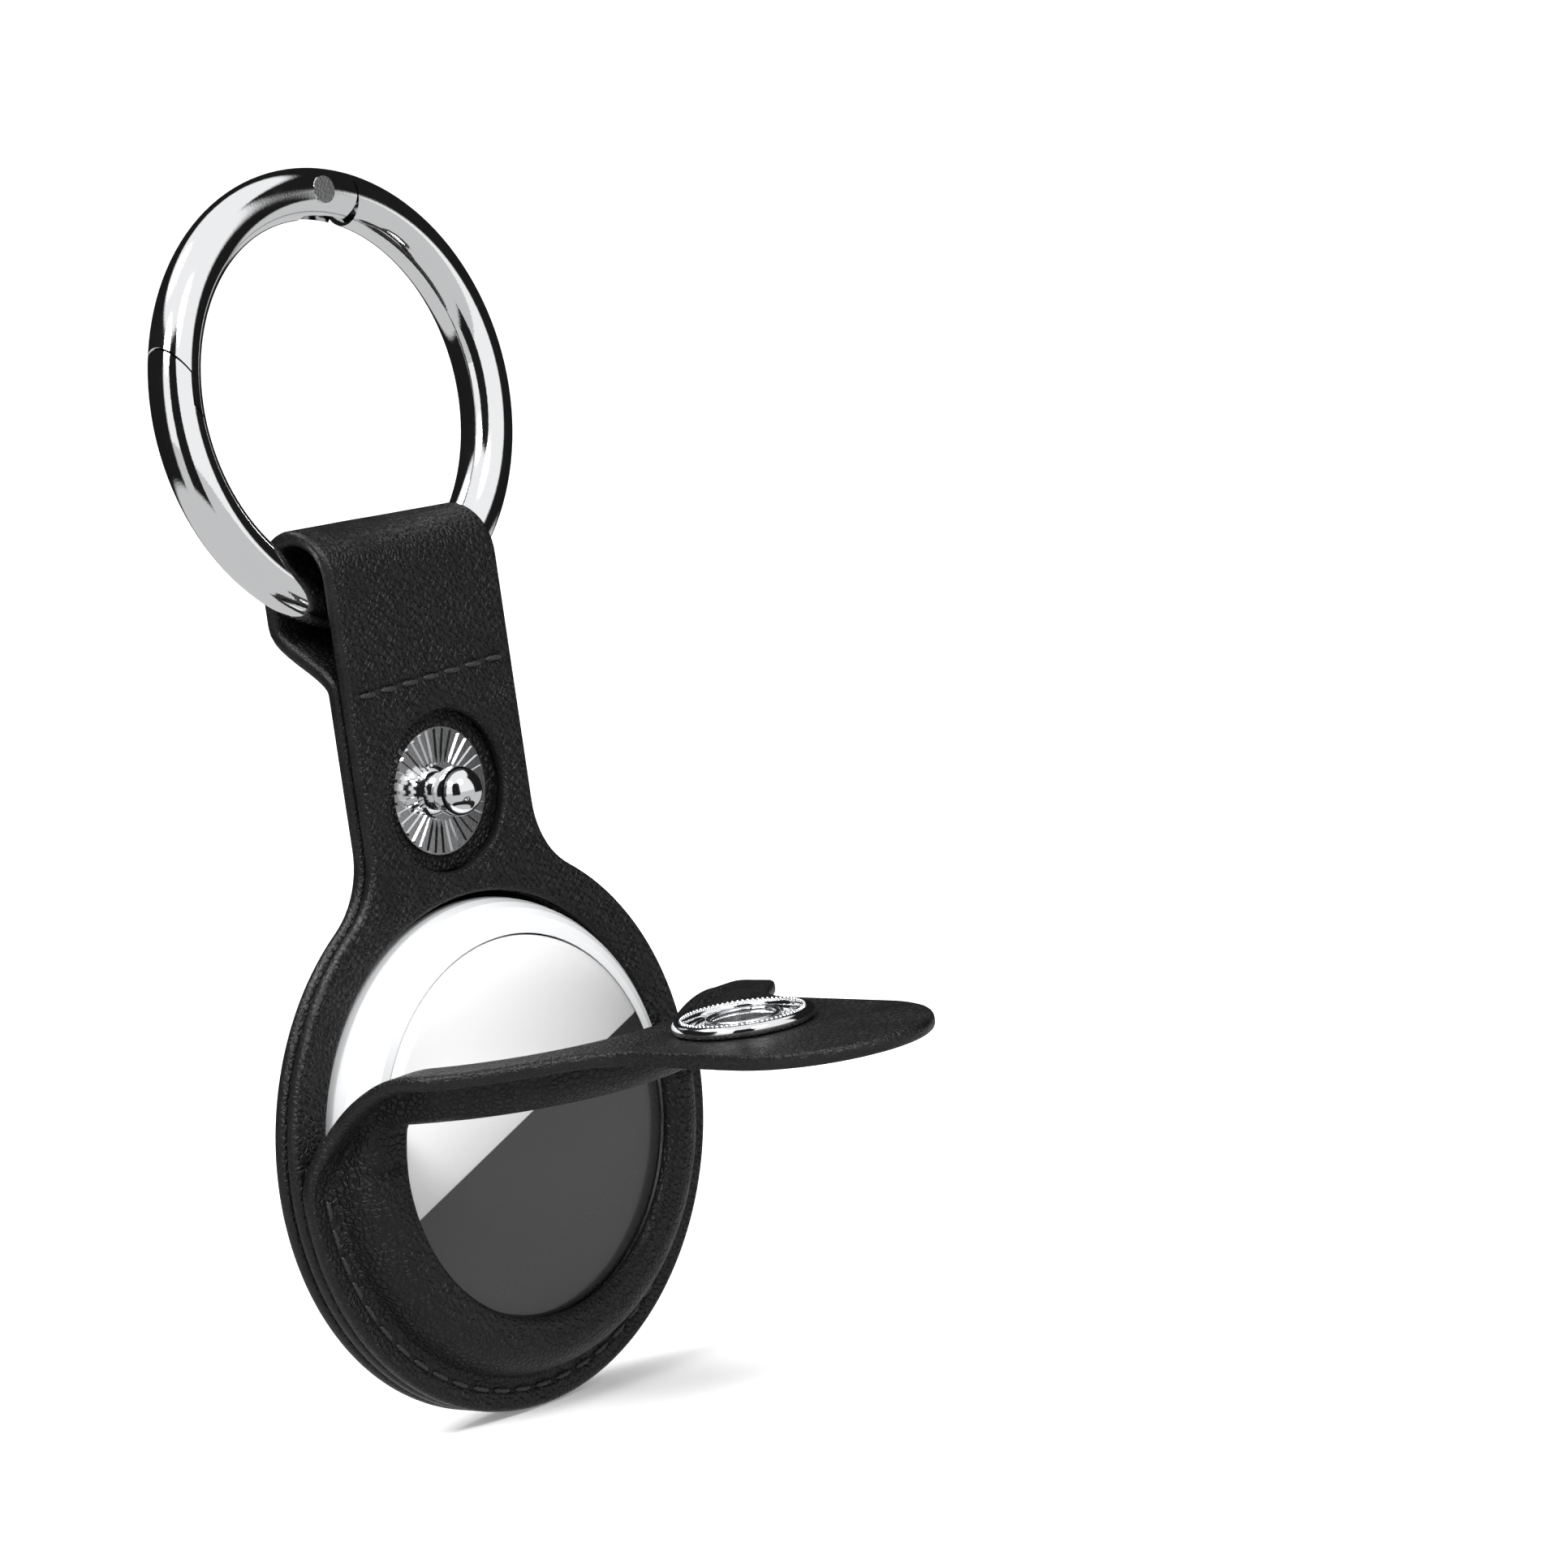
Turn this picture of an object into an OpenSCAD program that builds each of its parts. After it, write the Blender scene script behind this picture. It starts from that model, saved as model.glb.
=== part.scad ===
// Leather holder for a round tracker tag, hung on a spring-gate ring.
// Origin: on the axis of the tag, at the crown of the back. +Z up, the open side faces -Y.
// "Depth" in the names below is the distance in front of the crown, so a point has y = -depth.

/* [Leather] */
// Thickness of each leather layer
leather_t = 1.05; // [0.9:0.05:1.2]
// Width of the leather rim round the tag
rim_w = 3.1; // [2.9:0.1:3.4]
// Width of the strap and of the tongue
strap_w = 16; // [15:0.5:17]
// Radius of the fillets between strap and round body
flare_r = 6; // [4:0.5:8]
// Height of the stud above the tag's centre
snap_z = 23.8; // [23:0.2:25]
// Height of the stitch line across the strap
strap_seam_z = 31.8; // [31:0.2:33]
// Height of the tongue's tip when the flap is closed
tongue_tip_z = 38.3; // [37:0.2:39]
// Height of the crown's rise at the back
dome_d = 4; // [3.8:0.1:4.4]
// Radius of the flat crown at the back
dome_flat_r = 6; // [5:0.5:7]
// How far the window's lip reaches over the tag's cover
window_lap = 0.55; // [0.3:0.05:0.8]
// Distance from the rim to the seam line
seam_inset = 1.5; // [1.3:0.05:1.6]
// Distance from the strap's edge to the end of its seam
strap_seam_inset = 0.8; // [0.7:0.05:1]
// Radius of the recess in which the stud sits
recess_r = 5.6; // [5.4:0.1:6]

/* [Tag] */
// Width of the white shoulder round the cover
shoulder_w = 2.55; // [2.3:0.05:2.8]
// Thickness of the tag
tag_t = 8; // [7.8:0.1:8.2]
// Radius of the polished cover
cover_r = 13.4; // [13:0.1:13.8]
// Wall of the white shell
shell_wall = 1; // [0.8:0.1:1.2]
// Diameter of the coin cell
cell_d = 20; // [19.8:0.1:20.2]
// Thickness of the coin cell
cell_t = 3.2; // [3:0.1:3.3]

/* [Ring] */
// Inner diameter of the ring
ring_inner_d = 25; // [24:0.5:26]
// Diameter of the ring's wire
wire_d = 3.6; // [3.4:0.1:3.7]
// Angle of the gate's pin from the top, clockwise from the front
pin_angle = 10.5; // [8:0.5:14]
// Radius of the gate's pin
pin_r = 0.6; // [0.5:0.05:0.7]
// Tilt of the ring to the back at rest
ring_tilt = 9; // [0:1:12]

/* [Snap] */
// Radius of the cap
cap_r = 4.75; // [4.5:0.05:5]
// Height of the cap's dome
cap_h = 1.7; // [1.4:0.1:2]
// Radius of the socket
socket_r = 4.9; // [4.6:0.05:5.1]
// Radius of the stud's plate
stud_r = 4.4; // [4:0.1:4.6]
// Radius of the stud's ball
ball_r = 1.75; // [1.6:0.05:1.85]

/* [Hidden] */
$fn = 96;
// Overrun of cuts
over = 1;

// Clearances
layer_gap = 0.1;
tag_gap = 0.12;
tag_side_gap = 0.45;
flap_gap = 0.3;
band_gap_angle = 0.2;
gate_gap = 0.12;
pin_gap = 0.04;
post_gap = 0.05;
thread_gap = 0.05;
cover_gap = 0.12;
inner_gap = 0.15;

// Depths of the leather layers
back_rim_depth = dome_d;
back_face_depth = back_rim_depth + leather_t;
frame_back_depth = back_face_depth + layer_gap;
frame_depth = frame_back_depth + leather_t;
flange_depth = frame_depth + leather_t;
tag_back_depth = leather_t + tag_gap;
tag_front_depth = tag_back_depth + tag_t;
lip_back_depth = tag_front_depth + tag_gap;
lip_depth = lip_back_depth + leather_t;

// Pocket wall
window_r = cover_r - window_lap;
tag_r = cover_r + shoulder_w;
hole_r = tag_r + tag_side_gap;
disc_r = hole_r + rim_w;
lip_slope_share = 0.3;
wall_share = 0.6;
lip_flat_w = 1.05;
lip_inner_r = window_r + lip_flat_w;
lip_outer_r = lip_inner_r + lip_slope_share * leather_t;
wall_outer_r = hole_r + wall_share * leather_t;
wall_steps = 6;

// Flap: the axis about which it turns, and where pocket, fold and flap part
fold_ahead = 0.51;
fold_axis_depth = lip_depth + fold_ahead;
fold_axis_z = 3.65;
flap_open_angle = 90;
pocket_end_angle = 1.5;
flap_end_angle = 26;
band_steps = 9;
band_drop = 2.6;
band_lead = 0.6;

// Fillets between strap and round body
flare_x = strap_w / 2 + flare_r;
flare_z = sqrt(pow(disc_r + flare_r, 2) - pow(flare_x, 2));

// Loop round the ring
wire_r = wire_d / 2;
ring_r = ring_inner_d / 2 + wire_r;
swing_room = 0.7;
loop_r = wire_r + swing_room;
loop_depth = frame_back_depth - loop_r;
ring_chord_z = sqrt(pow(ring_r, 2) - pow(strap_w / 2, 2));
ring_up = (ring_r + ring_chord_z) / 2;
seam_to_loop = 0.35;
loop_foot_z = strap_seam_z + seam_to_loop;
loop_rise_share = 1.7;
loop_side_z = loop_foot_z + loop_rise_share * loop_r;
pivot_z = loop_side_z + wire_r;
loop_top_z = pivot_z + loop_r - wire_r + (ring_r - ring_chord_z) / 2 + wire_r;
loop_arc_z = loop_top_z - loop_r;
loop_steps = 10;

// Gate
pin_to_cut = 3;
gate_outer_reach = 18.9;
gate_inner_reach = 20.5;
tongue_t = 1.4;
tongue_r = 1.1;
tongue_gap = 0.08;
tongue_flat = 1;
slot_roof = 1.25;
spring_bore_r = 0.75;
spring_bore_l = 6.6;
bore_slope = 13;
plunger_l = 1.6;
plunger_flange_t = 0.4;
plunger_nose_r = 0.5;
spring_wire_r = 0.1;
spring_r = 0.55;
spring_turns = 6;
spring_sides = 6;
spring_rings = 8;
pin_head_r = 0.95;
pin_head_t = 0.25;

// Stitches
thread_r = 0.22;
stitch_l = 1.3;
rim_stitches = 28;
rim_seam_end_angle = 1;
strap_stitches = 7;
strap_seam_w = strap_w - 2 * strap_seam_inset;
seam_r = disc_r - seam_inset;

// Snap
stud_plate_t = 0.3;
stud_rib_t = 0.12;
stud_ribs = 34;
stud_neck_r = 1.35;
stud_hub_r = 2;
stud_hub_t = 0.35;
ball_rise = 1.65;
rivet_r = 3.4;
rivet_t = 0.5;
rivet_shank_r = 0.9;
rivet_hole_r = rivet_shank_r + post_gap;
grip_room = 0.4;
socket_bore_r = ball_r + grip_room;
socket_rim_w = 1.1;
socket_floor_t = 0.35;
cap_wall = 0.35;
post_wall = 0.3;
post_r = socket_bore_r + post_wall;
flap_hole_r = post_r + post_gap;
grip_wire_r = 0.2;
grip_sweep = 330;

// Tag
shell_equator_share = 0.5;
shell_equator = tag_t * shell_equator_share;
shoulder_drop = 0.55;
shell_steps = 10;
cover_edge = 0.7;
cover_wall = 0.4;
cover_skirt = 2.1;
tab_w_angle = 16;
tab_t = 0.5;
tab_reach = 0.45;
tab_count = 3;
tab_gap_angle = 1;
twist_angle = 20;
seal_r = 0.35;
tray_t = 0.7;
board_t = 0.8;
magnet_r = 3.6;
magnet_t = 1.9;
coil_in_r = 4.2;
coil_out_r = 5;
coil_t = 2;
board_in_r = 6.2;
contact_w = 1.6;
contact_t = 0.25;

leather_colour = [0.13, 0.13, 0.14];
thread_colour = [0.05, 0.05, 0.05];
chrome_colour = [0.82, 0.83, 0.85];
shell_colour = [0.95, 0.95, 0.96];

// Extrudes a front outline from one depth to a greater one
module slab(from, to) {
    translate([0, -from, 0])
        rotate([90, 0, 0])
            linear_extrude(to - from) children();
}

// Turns a profile of radius and depth about the tag's axis, from start by sweep degrees
module turned(start = 0, sweep = 360) {
    rotate([90, 0, 0])
        rotate([0, 0, start])
            rotate_extrude(angle = sweep) children();
}

// Extrudes a side outline of y and z across the strap
module across(width) {
    translate([-width / 2, 0, 0])
        rotate([90, 0, 90])
            linear_extrude(width) children();
}

// Points of a quarter ellipse round a centre, from angle a to angle b
function bend(centre, rx, ry, a, b, steps) = [
    for (i = [0:steps])
        let (t = a + (b - a) * i / steps) [centre[0] + rx * cos(t), centre[1] + ry * sin(t)]
];

// Round body and strap up to a height, with the fillets between them
module body_outline(top) {
    difference() {
        union() {
            circle(disc_r);
            translate([-strap_w / 2, 0]) square([strap_w, top]);
            for (side = [-1, 1])
                polygon([[0, 0], [side * flare_x, flare_z], [0, flare_z]]);
        }
        for (side = [-1, 1])
            translate([side * flare_x, flare_z]) circle(flare_r);
    }
}

// Back layer of the strap with the crown that clears the tag
module back_layer() {
    difference() {
        slab(back_rim_depth, back_face_depth) body_outline(loop_foot_z);
        turned() square([hole_r, lip_depth]);
        translate([0, over, snap_z]) rotate([90, 0, 0]) cylinder(r = rivet_hole_r, h = lip_depth);
    }
    turned()
        polygon(concat(
            [[0, leather_t], [0, 0]],
            bend([dome_flat_r, back_rim_depth], hole_r + leather_t - dome_flat_r, back_rim_depth, -90, 0, shell_steps),
            [[hole_r + leather_t, back_face_depth]],
            bend([dome_flat_r, back_face_depth], hole_r - dome_flat_r, back_rim_depth, 0, -90, shell_steps)
        ));
}

// Share of the loop's bulge at a height, from 0 at its foot to 1 at its side
function bulge(z) = (1 - cos(180 * (z - loop_foot_z) / (loop_side_z - loop_foot_z))) / 2;

// Centre of the back wall of the loop, as y, at a height
function loop_back_y(z) = -(back_face_depth + (loop_depth - loop_r - back_face_depth) * bulge(z));

// Side view of the loop: straight in front, round over the top, drawn in to the seam at the back
module loop_side() {
    heights = [for (i = [0:loop_steps]) loop_foot_z + (loop_side_z - loop_foot_z) * i / loop_steps];
    inner = [for (z = heights) [loop_back_y(z), z]];
    outer = [for (z = heights) [loop_back_y(z) + leather_t, z]];
    difference() {
        union() {
            polygon(concat(
                outer,
                bend([-loop_depth, loop_arc_z], loop_r + leather_t, loop_r + leather_t, 0, 180, 2 * loop_steps),
                [[-frame_depth, loop_foot_z]]
            ));
        }
        polygon(concat(
            [[-frame_back_depth, loop_foot_z - over], [-back_face_depth, loop_foot_z - over]],
            inner,
            bend([-loop_depth, loop_arc_z], loop_r, loop_r, 0, 180, 2 * loop_steps)
        ));
    }
}

// Groove that the rim seam lies in, at a depth
module rim_groove(depth) {
    rotate([90, 0, 0])
        rotate([0, 0, 180 - rim_seam_end_angle])
            rotate_extrude(angle = 180 + 2 * rim_seam_end_angle)
                translate([seam_r, depth]) circle(thread_r + thread_gap);
}

// Groove that the strap seam lies in, at a depth
module strap_groove(depth) {
    translate([-strap_seam_w / 2 - thread_r, -depth, strap_seam_z])
        rotate([0, 90, 0]) cylinder(r = thread_r + thread_gap, h = strap_seam_w + 2 * thread_r);
}

module strap() {
    color(leather_colour)
        difference() {
            union() {
                back_layer();
                slab(frame_back_depth, frame_depth)
                    difference() {
                        body_outline(loop_foot_z);
                        circle(hole_r);
                        translate([0, snap_z]) circle(recess_r);
                    }
                across(strap_w) loop_side();
            }
            rim_groove(back_rim_depth);
            strap_groove(back_rim_depth);
            strap_groove(frame_depth);
        }
}

// Wall of the front leather from the window to the rim, as radius and depth
function front_profile(rise, edge_r = disc_r) = concat(
    [[edge_r, frame_depth + rise]],
    bend([lip_inner_r, frame_depth + rise], hole_r - lip_inner_r, lip_back_depth - frame_depth, 0, 90, wall_steps),
    [[window_r, lip_back_depth + rise], [window_r, lip_depth + rise]],
    bend([lip_outer_r, flange_depth + rise], wall_outer_r - lip_outer_r, lip_depth - flange_depth, 90, 0, wall_steps),
    [[edge_r, flange_depth + rise]]
);

module front_pocket() {
    color(leather_colour)
        difference() {
            turned(180 - pocket_end_angle, 180 + 2 * pocket_end_angle) polygon(front_profile(0));
            rim_groove(flange_depth);
        }
}

// Opens what is drawn in its closed place by the flap's angle at rest
module opened(angle) {
    translate([0, -fold_axis_depth, fold_axis_z])
        rotate([angle, 0, 0])
            translate([0, fold_axis_depth, -fold_axis_z]) children();
}

// A point of the front wall at an angle round the tag, turned by a share of the opening
function fold_point(p, angle, share) =
    let (
        turn = flap_open_angle * share,
        x = p[0] * cos(angle),
        ahead = p[1] - fold_axis_depth,
        up = p[0] * sin(angle) - fold_axis_z,
        give = sin(180 * share)
    )
    [
        x,
        -(fold_axis_depth + up * sin(turn) + ahead * cos(turn) + band_lead * give),
        fold_axis_z + up * cos(turn) - ahead * sin(turn) - band_drop * give
    ];

// Smooth step from 0 to 1
function ease(t) = t * t * (3 - 2 * t);

// One side of the soft fold, between the pocket's end and the flap's end
module fold_side() {
    size = len(front_profile(0));
    rings = [
        for (i = [0:band_steps])
            let (
                t = i / band_steps,
                low = pocket_end_angle + band_gap_angle,
                high = flap_end_angle - band_gap_angle,
                profile = front_profile(flap_gap * ease(t))
            )
            for (p = profile) fold_point(p, low + (high - low) * t, ease(t))
    ];
    sides = [
        for (i = [0:band_steps - 1])
            for (j = [0:size - 1])
                let (k = (j + 1) % size)
                [i * size + j, i * size + k, (i + 1) * size + k, (i + 1) * size + j]
    ];
    start = [[for (j = [0:size - 1]) size - 1 - j]];
    end = [[for (j = [0:size - 1]) band_steps * size + j]];
    polyhedron(points = rings, faces = concat(sides, start, end));
}

module flap_fold_band() {
    color(leather_colour) {
        fold_side();
        mirror([1, 0, 0]) fold_side();
    }
}

// Tongue and the flange above the folds, as a flat outline
module flap_outline() {
    tip_z = tongue_tip_z - strap_w / 2;
    side_x = 2 * disc_r * cos(flap_end_angle);
    side_z = 2 * disc_r * sin(flap_end_angle);
    difference() {
        intersection() {
            union() {
                body_outline(tip_z);
                translate([0, tip_z]) circle(strap_w / 2);
            }
            polygon([
                [0, 0], [side_x, side_z], [side_x, tongue_tip_z + over],
                [-side_x, tongue_tip_z + over], [-side_x, side_z]
            ]);
        }
        circle(seam_r);
        translate([0, snap_z]) circle(flap_hole_r);
    }
}

module snap_flap() {
    color(leather_colour)
        opened(flap_open_angle) {
            turned(flap_end_angle, 180 - 2 * flap_end_angle) polygon(front_profile(flap_gap, seam_r));
            slab(frame_depth + flap_gap, flange_depth + flap_gap) flap_outline();
        }
}

// Stitches along the rim at a depth
module rim_row(depth) {
    span = 180 + 2 * rim_seam_end_angle;
    for (i = [0:rim_stitches - 1])
        rotate([0, -(180 - rim_seam_end_angle + span * (i + 0.5) / rim_stitches), 0])
            translate([seam_r, -depth, -stitch_l / 2])
                cylinder(r = thread_r, h = stitch_l, $fn = 24);
}

module rim_stitching() {
    color(thread_colour) {
        rim_row(flange_depth);
        rim_row(back_rim_depth);
    }
}

// Stitches across the strap at a depth
module strap_row(depth) {
    pitch = strap_seam_w / strap_stitches;
    for (i = [0:strap_stitches - 1])
        translate([
            -strap_seam_w / 2 + pitch * (i + 0.5) - stitch_l / 2,
            -depth,
            strap_seam_z
        ])
            rotate([0, 90, 0]) cylinder(r = thread_r, h = stitch_l, $fn = 24);
}

module strap_stitching() {
    color(thread_colour) {
        strap_row(frame_depth);
        strap_row(back_rim_depth);
    }
}

// Places a piece of the snap, drawn as radius and depth, at the stud's height
module at_snap() {
    translate([0, 0, snap_z]) children();
}

module snap_cap() {
    base = flange_depth + flap_gap;
    color(chrome_colour)
        opened(flap_open_angle)
            at_snap()
                turned()
                    polygon(concat(
                        [[cap_r, base]],
                        bend([0, base], cap_r, cap_h, 0, 90, shell_steps),
                        bend([0, base], cap_r - cap_wall, cap_h - cap_wall, 90, 0, shell_steps)
                    ));
}

module cap_post() {
    inside = frame_depth + flap_gap;
    outside = flange_depth + flap_gap;
    color(chrome_colour)
        opened(flap_open_angle)
            at_snap()
                turned() {
                    translate([socket_bore_r, inside])
                        square([post_wall, outside - inside]);
                    translate([socket_bore_r, outside])
                        square([cap_r - 2 * cap_wall - socket_bore_r, cap_wall]);
                }
}

module snap_socket() {
    face = back_face_depth + stud_plate_t + stud_rib_t + inner_gap;
    seat = frame_depth + flap_gap;
    half = (seat - face) / 2;
    color(chrome_colour)
        opened(flap_open_angle)
            at_snap() {
                turned() {
                    translate([socket_bore_r, seat - socket_floor_t])
                        square([socket_r - half - socket_bore_r, socket_floor_t]);
                    intersection() {
                        translate([socket_r - half, face + half]) circle(half);
                        translate([socket_bore_r, face]) square([socket_r, seat - face]);
                    }
                    translate([socket_r - half - socket_rim_w, face + half])
                        square([socket_rim_w, half]);
                }
            }
}

module socket_spring() {
    seat = frame_depth + flap_gap;
    color(chrome_colour)
        opened(flap_open_angle)
            at_snap()
                rotate([90, 0, 0])
                    rotate_extrude(angle = grip_sweep)
                        translate([socket_bore_r + grip_wire_r + post_gap, seat - socket_floor_t - grip_wire_r - post_gap])
                            circle(grip_wire_r, $fn = 24);
}

module snap_stud() {
    plate = back_face_depth;
    face = plate + stud_plate_t;
    tip = face + ball_rise;
    color(chrome_colour)
        at_snap() {
            difference() {
                union() {
                    turned() {
                        translate([0, plate]) square([stud_r, stud_plate_t]);
                        translate([0, face]) square([stud_hub_r, stud_hub_t]);
                        translate([0, face]) square([stud_neck_r, ball_rise]);
                    }
                    translate([0, -tip, 0]) sphere(ball_r);
                }
                rotate([90, 0, 0]) cylinder(r = rivet_hole_r, h = face + stud_hub_t);
            }
            for (i = [0:stud_ribs - 1])
                rotate([0, 360 * i / stud_ribs, 0])
                    translate([stud_hub_r - stud_rib_t, -face - stud_rib_t, -stud_rib_t])
                        cube([stud_r - stud_hub_r, 2 * stud_rib_t, 2 * stud_rib_t]);
        }
}

module stud_rivet() {
    tip = back_face_depth + stud_plate_t + stud_hub_t - inner_gap;
    color(chrome_colour)
        at_snap()
            turned() {
                polygon([
                    [0, back_rim_depth], [0, back_rim_depth - rivet_t],
                    [rivet_r - rivet_t, back_rim_depth - rivet_t], [rivet_r, back_rim_depth]
                ]);
                translate([0, back_rim_depth]) square([rivet_shank_r, tip - back_rim_depth]);
            }
}

// Places what is drawn in the ring's own plane, with the ring's centre at its origin
module at_ring() {
    translate([0, -loop_depth, pivot_z])
        rotate([-ring_tilt, 0, 0])
            translate([0, 0, ring_up]) children();
}

// Places what is drawn round the gate's pin, +X towards the cut and +Z outwards
module at_pin() {
    rotate([0, pin_angle, 0]) translate([0, 0, ring_r]) children();
}

module wire_torus() {
    rotate([90, 0, 0]) rotate_extrude() translate([ring_r, 0]) circle(wire_r);
}

// The gate's share of the ring, grown by a gap all round
module gate_share(gap) {
    wide = wire_d + 2 * over;
    difference() {
        union() {
            difference() {
                at_pin() translate([0, wide / 2, 0]) rotate([90, 0, 0]) cylinder(r = gate_outer_reach + gap, h = wide);
                translate([0, wide, 0]) rotate([90, 0, 0]) cylinder(r = ring_r - gap / 2, h = 2 * wide);
            }
            intersection() {
                at_pin() translate([0, wide / 2, 0]) rotate([90, 0, 0]) cylinder(r = gate_inner_reach + gap, h = wide);
                translate([0, wide / 2, 0]) rotate([90, 0, 0]) cylinder(r = ring_r + gap / 2, h = wide);
            }
        }
        at_pin()
            translate([pin_to_cut + gap, -wide, -2 * ring_r])
                cube([2 * ring_r, 2 * wide, 3 * ring_r]);
    }
}

module ring_body() {
    color(chrome_colour)
        at_ring() {
            difference() {
                wire_torus();
                gate_share(gate_gap);
            }
            at_pin()
                difference() {
                    translate([0, tongue_t / 2, 0])
                        rotate([90, 0, 0])
                            linear_extrude(tongue_t)
                                difference() {
                                    union() {
                                        circle(tongue_r);
                                        translate([0, -tongue_r])
                                            square([pin_to_cut + tongue_r, 2 * tongue_r - tongue_gap]);
                                    }
                                    translate([-tongue_flat - over, -tongue_r]) square([over, 2 * tongue_r]);
                                }
                    translate([0, over, 0])
                        rotate([90, 0, 0]) cylinder(r = pin_r + pin_gap, h = 2 * over);
                }
        }
}

// Bore of the gate's spring, along the chord of the wire
module spring_place() {
    at_pin() rotate([0, -90 - bore_slope, 0]) children();
}

module ring_gate() {
    slot_w = tongue_t + 2 * tongue_gap;
    color(chrome_colour)
        at_ring()
            difference() {
                intersection() {
                    wire_torus();
                    gate_share(0);
                }
                at_pin() {
                    translate([0, slot_w / 2, 0])
                        rotate([90, 0, 0])
                            linear_extrude(slot_w) {
                                circle(slot_roof);
                                translate([-slot_roof, -wire_d]) square([2 * pin_to_cut, wire_d]);
                                translate([0, -wire_d]) square([2 * pin_to_cut, wire_d + slot_roof]);
                            }
                    translate([0, wire_d, 0]) rotate([90, 0, 0]) cylinder(r = pin_r, h = 2 * wire_d);
                    translate([0, wire_d, 0])
                        rotate([90, 0, 0])
                            linear_extrude(2 * wire_d)
                                difference() {
                                    translate([0, -pin_to_cut]) square([2 * pin_to_cut, pin_to_cut]);
                                    circle(pin_to_cut);
                                }
                    for (side = [-1, 1])
                        translate([0, side * (wire_r - pin_head_t) + (side > 0 ? pin_head_t + over : 0), 0])
                            rotate([90, 0, 0]) cylinder(r = pin_head_r, h = pin_head_t + over);
                }
                spring_place() cylinder(r = spring_bore_r, h = spring_bore_l);
            }
}

module gate_pin() {
    color(chrome_colour)
        at_ring()
            at_pin()
                translate([0, wire_r, 0]) {
                    rotate([90, 0, 0]) cylinder(r = pin_r, h = wire_d);
                    rotate([90, 0, 0]) cylinder(r = pin_head_r, h = pin_head_t);
                    translate([0, pin_head_t - wire_d, 0])
                        rotate([90, 0, 0]) cylinder(r = pin_head_r, h = pin_head_t);
                }
}

module gate_plunger() {
    color(chrome_colour)
        at_ring()
            spring_place()
                translate([0, 0, slot_roof]) {
                    cylinder(r = plunger_nose_r, h = plunger_l);
                    cylinder(r = spring_bore_r - pin_gap, h = plunger_flange_t);
                }
}

// A round coil as one swept tube along Z
module coil(radius, wire, length, turns) {
    count = turns * spring_rings;
    pts = [
        for (i = [0:count])
            for (j = [0:spring_sides - 1])
                let (
                    turn = 360 * i / spring_rings,
                    way = 360 * j / spring_sides,
                    out = radius + wire * cos(way)
                )
                [out * cos(turn), out * sin(turn), wire + (length - 2 * wire) * i / count + wire * sin(way)]
    ];
    sides = [
        for (i = [0:count - 1])
            for (j = [0:spring_sides - 1])
                let (k = (j + 1) % spring_sides)
                [i * spring_sides + j, (i + 1) * spring_sides + j, (i + 1) * spring_sides + k, i * spring_sides + k]
    ];
    start = [[for (j = [0:spring_sides - 1]) j]];
    end = [[for (j = [0:spring_sides - 1]) count * spring_sides + spring_sides - 1 - j]];
    polyhedron(points = pts, faces = concat(sides, start, end));
}

module gate_spring() {
    start = slot_roof + plunger_flange_t + post_gap;
    color(chrome_colour)
        at_ring()
            spring_place()
                translate([0, 0, start])
                    coil(spring_r + spring_wire_r / 2, spring_wire_r / 2, spring_bore_l - start - post_gap, spring_turns);
}

// Half outline of the closed tag, grown outwards, as radius and depth from the tag's back
function tag_back(inset) = bend(
    [dome_flat_r, shell_equator],
    tag_r - inset - dome_flat_r, shell_equator - inset, -90, 0, shell_steps
);

function tag_shoulder(inset) = bend(
    [cover_r + cover_gap, shell_equator],
    tag_r - inset - cover_r - cover_gap, tag_t - shoulder_drop - shell_equator - inset, 0, 90, wall_steps
);

module at_tag() {
    translate([0, -tag_back_depth, 0]) children();
}

module tag_shell() {
    ledge = tag_t - cover_edge - cover_skirt;
    color(shell_colour)
        at_tag()
            difference() {
                turned()
                    polygon(concat(
                        [[0, 0]],
                        tag_back(0),
                        tag_shoulder(0),
                        [[cover_r + cover_gap, ledge]],
                        [[cover_r + cover_gap, shell_equator]],
                        [for (i = [shell_steps:-1:0]) tag_back(shell_wall)[i]],
                        [[0, shell_wall]]
                    ));
                for (i = [0:tab_count - 1])
                    turned(360 * i / tab_count - twist_angle - tab_gap_angle, tab_w_angle + twist_angle + 2 * tab_gap_angle)
                        translate([cover_r, ledge]) square([tab_reach + 2 * cover_gap, tab_t + cover_gap]);
            }
}

module tag_cover() {
    ledge = tag_t - cover_edge - cover_skirt;
    color(chrome_colour)
        at_tag() {
            turned()
                polygon(concat(
                    [[0, tag_t], [0, tag_t - cover_wall]],
                    [[cover_r - cover_edge - cover_wall, tag_t - cover_wall]],
                    [[cover_r - cover_wall, tag_t - cover_edge - cover_wall], [cover_r - cover_wall, ledge + cover_gap]],
                    [[cover_r, ledge + cover_gap]],
                    bend([cover_r - cover_edge, tag_t - cover_edge], cover_edge, cover_edge, 0, 90, wall_steps)
                ));
            for (i = [0:tab_count - 1])
                turned(360 * i / tab_count, tab_w_angle)
                    translate([cover_r - cover_wall, ledge + cover_gap])
                        square([cover_wall + tab_reach, tab_t - cover_gap]);
        }
}

module tag_tray() {
    top = tag_t - cover_wall - inner_gap - cell_t;
    color("dimgray")
        at_tag()
            turned()
                translate([coil_out_r, top - tray_t])
                    square([cover_r - coil_out_r, tray_t - inner_gap]);
}

module tag_cell() {
    color("silver")
        at_tag()
            turned()
                translate([0, tag_t - cover_wall - inner_gap - cell_t]) square([cell_d / 2, cell_t]);
}

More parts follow.
